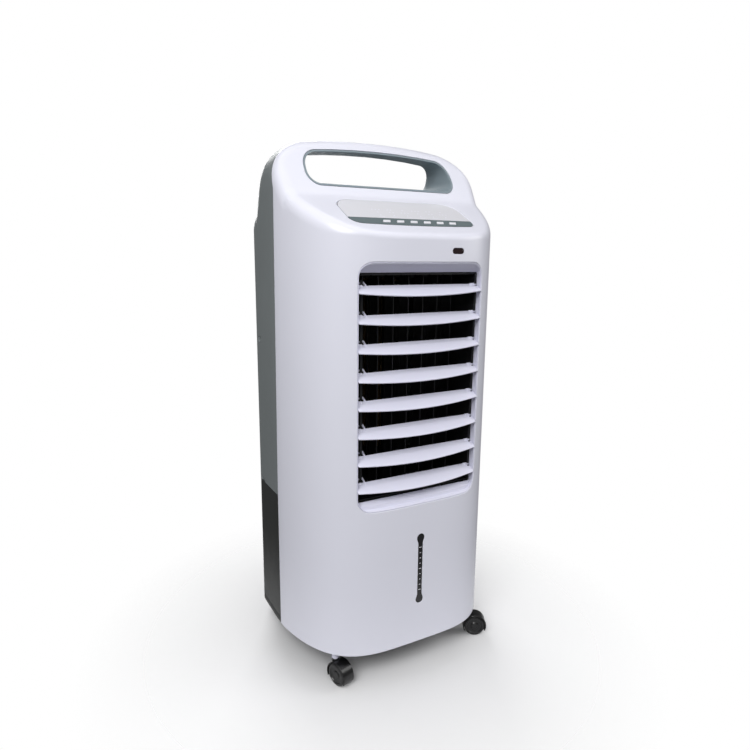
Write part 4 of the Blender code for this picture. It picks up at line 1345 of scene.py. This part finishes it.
@dataclass
class Tank(Builder):
    """The water drawer: its rear part is the outer skin, with a grip, a drain and a latch seat."""

    floor_z: float = 0.0515
    top_z: float = 0.2345
    front_top_z: float = 0.212
    inside_z: float = 0.054
    wall: float = 0.0025
    base_z: float = 0.042
    plug_at: tuple[float, float] = (0.058, 0.0660)
    latch_z: float = 0.2450
    latch_reach: float = 0.0187

    def plan(self, inwards: float, behind: float | None = None, before: float | None = None) -> Outline:
        """The body's outline from above, moved inwards, and cut off across at one or two places.

        Args:
            inwards: how far to move it in.
            behind: keep only what is behind this y.
            before: keep only what is in front of this y.

        Returns:
            A closed outline.
        """
        form = self.form
        rays = [math.tau * index / 240 for index in range(240)]
        inside = np.array([(0.0, 0.0, 0.15) for _ in rays])
        outside = np.array([(0.4 * math.cos(t), 0.4 * math.sin(t), 0.15) for t in rays])
        edge = form.crossing(outside, inside)
        moved = edge - form.normals(edge) * inwards
        low = behind if behind is not None else -1.0
        high = before if before is not None else 1.0
        points = [(x, y) for x, y, _ in moved if low < y < high]
        for level in (behind, before):
            if level is None:
                continue
            beyond = np.abs(moved[:, 1] - level)
            half = float(np.abs(moved[np.argmin(beyond), 0]))
            points += [(half, level), (-half, level)]
        middle = sum(y for _, y in points) / len(points)
        return sorted(points, key=lambda point: math.atan2(point[1] - middle, point[0]))

    def prism(self, outline: Outline, low: float, high: float) -> bpy.types.Object:
        """A plain upright prism."""
        return Mould.piece(Mould.slab(lambda _: outline, low, high), "part")

    def block(self, low: Iterable[float], high: Iterable[float]) -> bpy.types.Object:
        """A plain box."""
        bm = bmesh.new()
        Mould.block(bm, low, high)
        return Mould.piece(bm, "part")

    def rod(self, centre: tuple[float, float], radius: float, low: float, high: float) -> bpy.types.Object:
        """A round bar along Y at (x, z)."""
        bm = bmesh.new()
        Mould.drum(bm, [(0, 0), (radius, 0), (radius, high - low), (0, high - low)],
                   (centre[0], low, centre[1]), REARWARD, 36)
        return Mould.piece(bm, "part")

    def make(self) -> None:
        """Builds the drawer, its latch, its plug and the base under it."""
        seam = self.form.seam_y + 0.0004
        inner = self.wall + 0.0012
        plug_x, plug_z = self.plug_at
        grip = Mould.slab(oblong(0.048, 0.1450, 0.1770, 0.012), 0.1165, 0.2, across=Across.Y)
        piece = self.prism(self.plan(0.0, behind=seam), self.floor_z, self.top_z)
        piece.name = "tank_drawer"
        for operation, tool in (
            ("UNION", self.prism(self.plan(inner, before=0.010), self.floor_z, self.front_top_z)),
            ("DIFFERENCE", self.prism(self.plan(inner + self.wall), self.inside_z, 0.3)),
            ("DIFFERENCE", self.prism(self.plan(self.wall, behind=0.0022), self.inside_z, 0.3)),
            ("UNION", self.block((plug_x - 0.012, 0.1190, 0.0530), (plug_x + 0.012, 0.1285, 0.0800))),
            ("DIFFERENCE", self.rod((plug_x, plug_z), 0.0092, 0.1262, 0.2)),
            ("DIFFERENCE", self.rod((plug_x, plug_z), 0.0052, 0.10, 0.2)),
            ("UNION", self.block((-0.052, 0.1135, 0.1420), (0.052, 0.1285, 0.1800))),
            ("DIFFERENCE", Mould.piece(grip, "part")),
            ("UNION", self.block((-0.019, 0.1205, 0.2230), (0.019, 0.1285, self.top_z))),
            ("DIFFERENCE", self.rod((0.0, self.latch_z), self.latch_reach, 0.1255, 0.2)),
        ):
            Mould.boolean(piece, tool, operation)
        Mould.smooth(Mould.bevelled(piece, 0.0007), 40.0)
        self.dress(piece, "tank_charcoal", "tank", "water_tank")
        self.plug()
        self.latch()
        self.base()

    def plug(self) -> None:
        """The drain plug: a round, slightly dished head on a shank."""
        bm = bmesh.new()
        profile = [(0, -0.0085), (0.0044, -0.0085), (0.0048, -0.0078), (0.0048, 0), (0.0082, 0),
                   (0.0086, 0.0006), (0.0086, 0.0022), (0.0078, 0.0031), (0.0030, 0.0031), (0, 0.0026)]
        Mould.drum(bm, profile, (self.plug_at[0], 0.1265, self.plug_at[1]), REARWARD, 40)
        self.cast(bm, "drain_stopper", "seal_rubber", "drain_plug", "drain_plug")

    def latch(self) -> None:
        """The turn latch: a round boss with a tapered finger, drawn level."""
        corners = [(-0.0062, -0.0062), (0.0062, -0.0062), (0.0170, -0.0034)]
        corners += [(x, -z) for x, z in reversed(corners)]
        finger = filleted(corners, [0.006, 0.002, 0.003, 0.003, 0.002, 0.006])
        finger = [(x, z + self.latch_z) for x, z in finger]
        bm = Mould.slab(lambda growth: grown(finger, growth), 0.1260, 0.1296, 0.0010, Across.Y)
        pin = [(0, 0), (0.0018, 0), (0.0018, 0.0075), (0, 0.0075)]
        Mould.drum(bm, pin, (0, 0.1190, self.latch_z), REARWARD, 20)
        self.cast(bm, "turn_latch", "black_plastic", "tank_latch", "tank_latch")

    def base(self) -> None:
        """The base plate, dark all over, with the white caster sockets under it."""
        piece = self.prism(self.plan(self.wall + 0.0003), 0.0435, 0.0510)
        piece.name = "base_tray"
        skirt = self.prism(self.plan(0.0, behind=self.form.seam_y + 0.0004), self.base_z, 0.0510)
        Mould.boolean(piece, skirt, "UNION")
        Mould.smooth(Mould.bevelled(piece, 0.0008), 40.0)
        self.dress(piece, "tank_charcoal", CASING, "base_plate")


@dataclass
class Casters(Builder):
    """Four twin-wheel casters under white sockets."""

    wheel_radius: float = 0.015
    hood_radius: float = 0.0172
    hood_wall: float = 0.0015
    faces: tuple[float, float] = (0.0018, 0.0083)
    socket_z: float = 0.0328
    socket_radius: float = 0.0048

    def make(self) -> None:
        """Builds each caster from its joints."""
        joints = {joint["name"]: joint for joint in frame["joints"]}
        for corner in Corner:
            stem = Vector(joints[f"caster_{corner.value}_swivel"]["pos_m"])
            hub = Vector(joints[f"wheels_{corner.value}_roll"]["pos_m"])
            axle = Vector(joints[f"wheels_{corner.value}_roll"]["axis"]).normalized()
            self.socket(corner, stem)
            self.hood(corner, stem, hub, axle)
            self.wheels(corner, hub, axle)

    def socket(self, corner: Corner, stem: Vector) -> None:
        """The white socket that the stem turns in."""
        bm = bmesh.new()
        low, high = self.socket_z, 0.0440
        profile = [(0.0034, low), (self.socket_radius - 0.0005, low), (self.socket_radius, low + 0.0005),
                   (self.socket_radius, high - 0.004), (self.socket_radius + 0.0022, high), (0.0034, high),
                   (0.0034, low)]
        Mould.drum(bm, profile, (stem.x, stem.y, 0), UP, 36)
        self.cast(bm, f"caster_socket_{corner.value}", "recess_white", CASING)

    def hood(self, corner: Corner, stem: Vector, hub: Vector, axle: Vector) -> None:
        """The hood: a round-edged band over both wheels, a web between them and a collar."""
        bm = bmesh.new()
        half, outer = self.faces[1] + 0.0006, self.hood_radius
        inner, soft = outer - self.hood_wall, 0.0006
        section = [(inner, -half + soft), (inner + soft, -half), (outer - soft, -half), (outer, -half + soft)]
        section += [(radius, -height) for radius, height in reversed(section)]
        Mould.drum(bm, section, (0, 0, 0), UP, 44, 230.0, -25.0)
        bore, web, hub_radius = 0.0026, inner + 0.0006, 0.0052
        plate = [(bore, -0.0013), (web, -0.0013), (web, 0.0013), (bore, 0.0013)]
        Mould.drum(bm, plate, (0, 0, 0), UP, 40, 222.0, -21.0)
        collar = [(bore, -0.0014), (hub_radius, -0.0014), (hub_radius, 0.0014), (bore, 0.0014), (bore, -0.0014)]
        Mould.drum(bm, collar, (0, 0, 0), UP, 32)
        back = Vector((stem.x - hub.x, stem.y - hub.y, 0)).normalized()
        turn = Matrix((-back, UP, axle)).transposed()
        if turn.determinant() < 0:
            turn = Matrix((-back, UP, -axle)).transposed()
        bmesh.ops.rotate(bm, verts=bm.verts, matrix=turn)
        bmesh.ops.translate(bm, verts=bm.verts, vec=hub)
        under = self.socket_z - 0.0003
        profile = [
            (0, 0.0262), (0.0040, 0.0262), (0.0046, 0.0285), (0.0046, under - 0.0004),
            (0.0042, under), (0.0030, under), (0.0030, 0.0485), (0, 0.0485),
        ]
        Mould.drum(bm, profile, (stem.x, stem.y, 0), UP, 28)
        name = corner.value
        self.cast(bm, f"hood_{name}", "caster_black", f"caster_{name}", f"caster_hood_{name}")

    def wheels(self, corner: Corner, hub: Vector, axle: Vector) -> None:
        """Two wheels with crowned treads and dished faces on one axle."""
        bm = bmesh.new()
        low, high = self.faces
        radius = self.wheel_radius
        profile = [(0.0020, low), (0.0118, low), (0.0142, low + 0.0003), (radius, low + 0.0011),
                   (radius, high - 0.0016), (radius - 0.0005, high - 0.0006), (radius - 0.0016, high),
                   (0.0112, high), (0.0106, high - 0.0008), (0.0060, high - 0.0012), (0.0052, high - 0.0004),
                   (0.0046, high), (0, high)]
        for way in (axle, -axle):
            Mould.drum(bm, profile, hub, way, 56)
        Mould.drum(bm, [(0.0020, -low - 0.0005), (0.0020, low + 0.0005)], hub, axle, 24)
        name = corner.value
        piece = Mould.smooth(Mould.piece(bm, f"wheel_pair_{name}"), 30.0)
        self.dress(piece, "caster_black", f"wheels_{name}", f"caster_wheels_{name}")


@dataclass
class Intake(Builder):
    """The pull-off air intake behind: a rimmed frame, sloping slats and upright ribs."""

    half: float = 0.0985
    low_z: float = 0.262
    high_z: float = 0.560
    slats: int = 30
    cord_x: float = -0.075
    cord_z: float = 0.2450

    def cutter(self) -> bmesh.types.BMesh:
        """The cutter for its opening in the rear shell."""
        bm = Mould.slab(oblong(self.half, self.low_z, self.high_z, 0.008), 0.11, 0.2, across=Across.Y)
        Mould.block(bm, (-0.024, 0.1255, 0.2), (0.024, 0.2, 0.2530))
        hole = [(0, 0), (0.0058, 0), (0.0058, 0.09), (0, 0.09)]
        Mould.drum(bm, hole, (self.cord_x, 0.11, self.cord_z), REARWARD, 32)
        for side in (-1, 1):
            near, far = sorted((side * 0.1497, side * 0.2))
            for low, high in ((0.4375, 0.4450), (0.2300, 0.2415)):
                Mould.block(bm, (near, 0.048, low), (far, 0.060, high), bevel=0.001)
        return bm

    def make(self) -> None:
        """Builds the frame with its slats and ribs, and the seat behind the latch."""
        rim = oblong(self.half - 0.0005, self.low_z + 0.0005, self.high_z - 0.0005, 0.0075)
        stages = [
            (0.0, 0.1190), (0.0, 0.1287), (-0.0003, 0.1294), (-0.0010, 0.1297), (-0.0064, 0.1297),
            (-0.0072, 0.1293), (-0.0075, 0.1286), (-0.0075, 0.1267), (-0.0030, 0.1267), (-0.0030, 0.1190),
        ]
        rings = [[placed(point, y, Across.Y) for point in rim(growth)] for growth, y in stages]
        bm = Mould.sleeve(rings, closed=True)
        low, high, half = self.low_z + 0.0075, self.high_z - 0.0075, self.half - 0.0076
        pitch = (high - low) / self.slats
        lean = Matrix.Rotation(math.radians(-38), 4, "X")
        for index in range(self.slats):
            z = low + pitch * (index + 0.5)
            Mould.block(bm, (-half, 0.1237, z - 0.0009), (half, 0.1289, z + 0.0009), lean, 0.0004)
        for x in (-0.0605, -0.0305, 0.0, 0.0305, 0.0605):
            start, end = (x - 0.0011, 0.1240, low - 0.0005), (x + 0.0011, 0.1285, high + 0.0005)
            Mould.block(bm, start, end, bevel=0.0004)
        self.cast(bm, "intake_grille", "rear_grey", "intake", "rear_grille")
        bm = bmesh.new()
        Mould.block(bm, (-0.088, 0.1220, 0.2352), (-0.0812, 0.1274, 0.2480))
        Mould.block(bm, (-0.0688, 0.1220, 0.2352), (0.026, 0.1254, 0.2480))
        piece = Mould.smooth(Mould.piece(bm, "latch_rail"))
        self.dress(piece, "rear_grey", CASING)
        bm = bmesh.new()
        profile = [
            (0.0032, 0), (0.0053, 0), (0.0053, 0.0085), (0.0050, 0.0096),
            (0.0040, 0.0098), (0.0032, 0.0092), (0.0032, 0),
        ]
        Mould.drum(bm, profile, (self.cord_x, 0.1200, self.cord_z), REARWARD, 36)
        self.cast(bm, "cord_grommet", "seal_rubber", CASING, "cord_gland")


@dataclass
class Insides(Builder):
    """The pieces inside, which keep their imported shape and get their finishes."""

    def make(self) -> None:
        """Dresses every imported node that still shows."""
        slots = {part["node"]: part["material_slot"] for part in frame["record"]["subparts"]}
        for name, node in frame["nodes"].items():
            if node.hide_render:
                continue
            self.finishes.put_on(node, slots[name])
            LOG.info("%s keeps its packed shape", name)


# ---------------------------------------------------------------- studio


@dataclass
class Studio:
    """A pale sweep of floor, soft lights and the camera."""

    eye: tuple[float, float, float] = (-0.4096, -0.7440, 0.5577)
    yaw: float = math.radians(28.861)
    pitch: float = math.radians(11.376)
    roll: float = math.radians(0.551)
    lens: float = 29.008

    def make(self) -> None:
        """Sets the stage."""
        self.floor()
        self.camera()
        self.light("key", (-0.95, -0.95, 1.30), 0.8, 16.0)
        self.light("band", (-0.45, -1.60, 0.65), 0.12, 1.0, 2.2)
        self.light("edge", (1.2, -0.7, 0.9), 0.7, 6.0)
        self.light("rear", (0.35, 1.60, 1.10), 1.0, 22.0)
        self.daylight()
        self.backdrop()
        bpy.context.scene.view_settings.view_transform = "Standard"

    def daylight(self) -> None:
        """A very wide overhead light, which keeps the floor even."""
        data = bpy.data.lights.new("overhead", "SUN")
        data.angle = math.radians(100)
        data.energy = 1.2
        made = bpy.data.objects.new("overhead", data)
        made.rotation_euler = (math.radians(24), 0, math.radians(-35))
        bpy.context.scene.collection.objects.link(made)

    def backdrop(self) -> None:
        """A white backdrop that throws only a little light on the cooler."""
        world = bpy.data.worlds.new("studio")
        world.use_nodes = True
        tree = NodeBench(world.node_tree)
        shade = world.node_tree.nodes["Background"]
        shade.inputs["Color"].default_value = (1.0, 1.0, 1.0, 1.0)
        seen = tree.add("ShaderNodeLightPath").outputs["Is Camera Ray"]
        tree.join(tree.ramp(seen, 0.0, 1.0, 0.14, 1.0), shade.inputs["Strength"])
        bpy.context.scene.world = world

    def floor(self) -> None:
        """A wide pale floor that fades into the white backdrop away from the cooler; greyer than the backdrop, the
        floor round the base is partly a painted shadow.
        """
        bm = bmesh.new()
        bmesh.ops.create_grid(bm, x_segments=4, y_segments=4, size=1.2)
        floor = Mould.piece(bm, "floor", recalculate=False)
        # The paper's grey is partly a painted shadow: it darkens the floor round the cooler's base against the
        # white backdrop.
        paper = Finish("studio_paper", (0.74, 0.74, 0.75), 0.85, 0.00002, 300.0, 0.005).make()
        tree = NodeBench(paper.node_tree)
        away = tree.add("ShaderNodeVectorMath", operation="LENGTH")
        tree.join(tree.add("ShaderNodeTexCoord").outputs["Object"], away.inputs[0])
        painted_shadow_fade = tree.add("ShaderNodeMixShader")
        # Grey paper near the cooler, fading to the white backdrop further out: a painted shadow round the base, on
        # top of the rendered one.
        tree.join(tree.ramp(away.outputs["Value"], 0.14, 0.42, 0.0, 1.0), painted_shadow_fade.inputs["Fac"])
        tree.join(paper.node_tree.nodes["Principled BSDF"].outputs["BSDF"], painted_shadow_fade.inputs[1])
        tree.join(tree.add("ShaderNodeBsdfTransparent").outputs["BSDF"], painted_shadow_fade.inputs[2])
        tree.join(painted_shadow_fade.outputs["Shader"], paper.node_tree.nodes["Material Output"].inputs["Surface"])
        floor.data.materials.append(paper)

    def camera(self) -> None:
        """The camera, a little above the outlet and to the left."""
        level = math.cos(self.pitch)
        forward = Vector((math.sin(self.yaw) * level, math.cos(self.yaw) * level, -math.sin(self.pitch)))
        right = Vector((math.cos(self.yaw), -math.sin(self.yaw), 0))
        up = right.cross(forward)
        straight = Matrix((right, up, -forward)).transposed()
        turned = straight @ Matrix.Rotation(self.roll, 3, "Z")
        data = bpy.data.cameras.new("camera")
        data.lens = self.lens
        data.sensor_width = 36.0
        data.clip_start = 0.01
        made = bpy.data.objects.new("camera", data)
        made.matrix_world = Matrix.Translation(self.eye) @ turned.to_4x4()
        bpy.context.scene.collection.objects.link(made)
        bpy.context.scene.camera = made

    def light(
        self, name: str, place: tuple[float, float, float], size: float, power: float, tall: float = 0.0
    ) -> None:
        """A soft light aimed at the cooler's middle: square, or a tall strip.

        Args:
            name: the light's name.
            place: where it stands.
            size: its width.
            power: its power in watts.
            tall: its height, if it isn't square.
        """
        data = bpy.data.lights.new(name, "AREA")
        data.shape = "RECTANGLE"
        data.size = size
        data.size_y = tall or size
        data.energy = power
        made = bpy.data.objects.new(name, data)
        made.location = place
        made.rotation_euler = (Vector((0, 0, 0.35)) - Vector(place)).to_track_quat("-Z", "Y").to_euler()
        bpy.context.scene.collection.objects.link(made)


def main() -> None:
    """Builds the cooler and its studio."""
    logging.basicConfig(level=logging.INFO, format="%(message)s")
    form, finishes = BodyForm(), Finishes()
    Studio().make()
    outlet, handle = Outlet(form, finishes), Handle(form, finishes)
    panel, intake = Panel(form, finishes), Intake(form, finishes)
    Shells(form, finishes).make(outlet, handle, panel, intake)
    others = [kind(form, finishes) for kind in (Tank, Casters, Insides)]
    for part in (outlet, handle, panel, intake, *others):
        part.make()


if __name__ == "__main__":
    main()
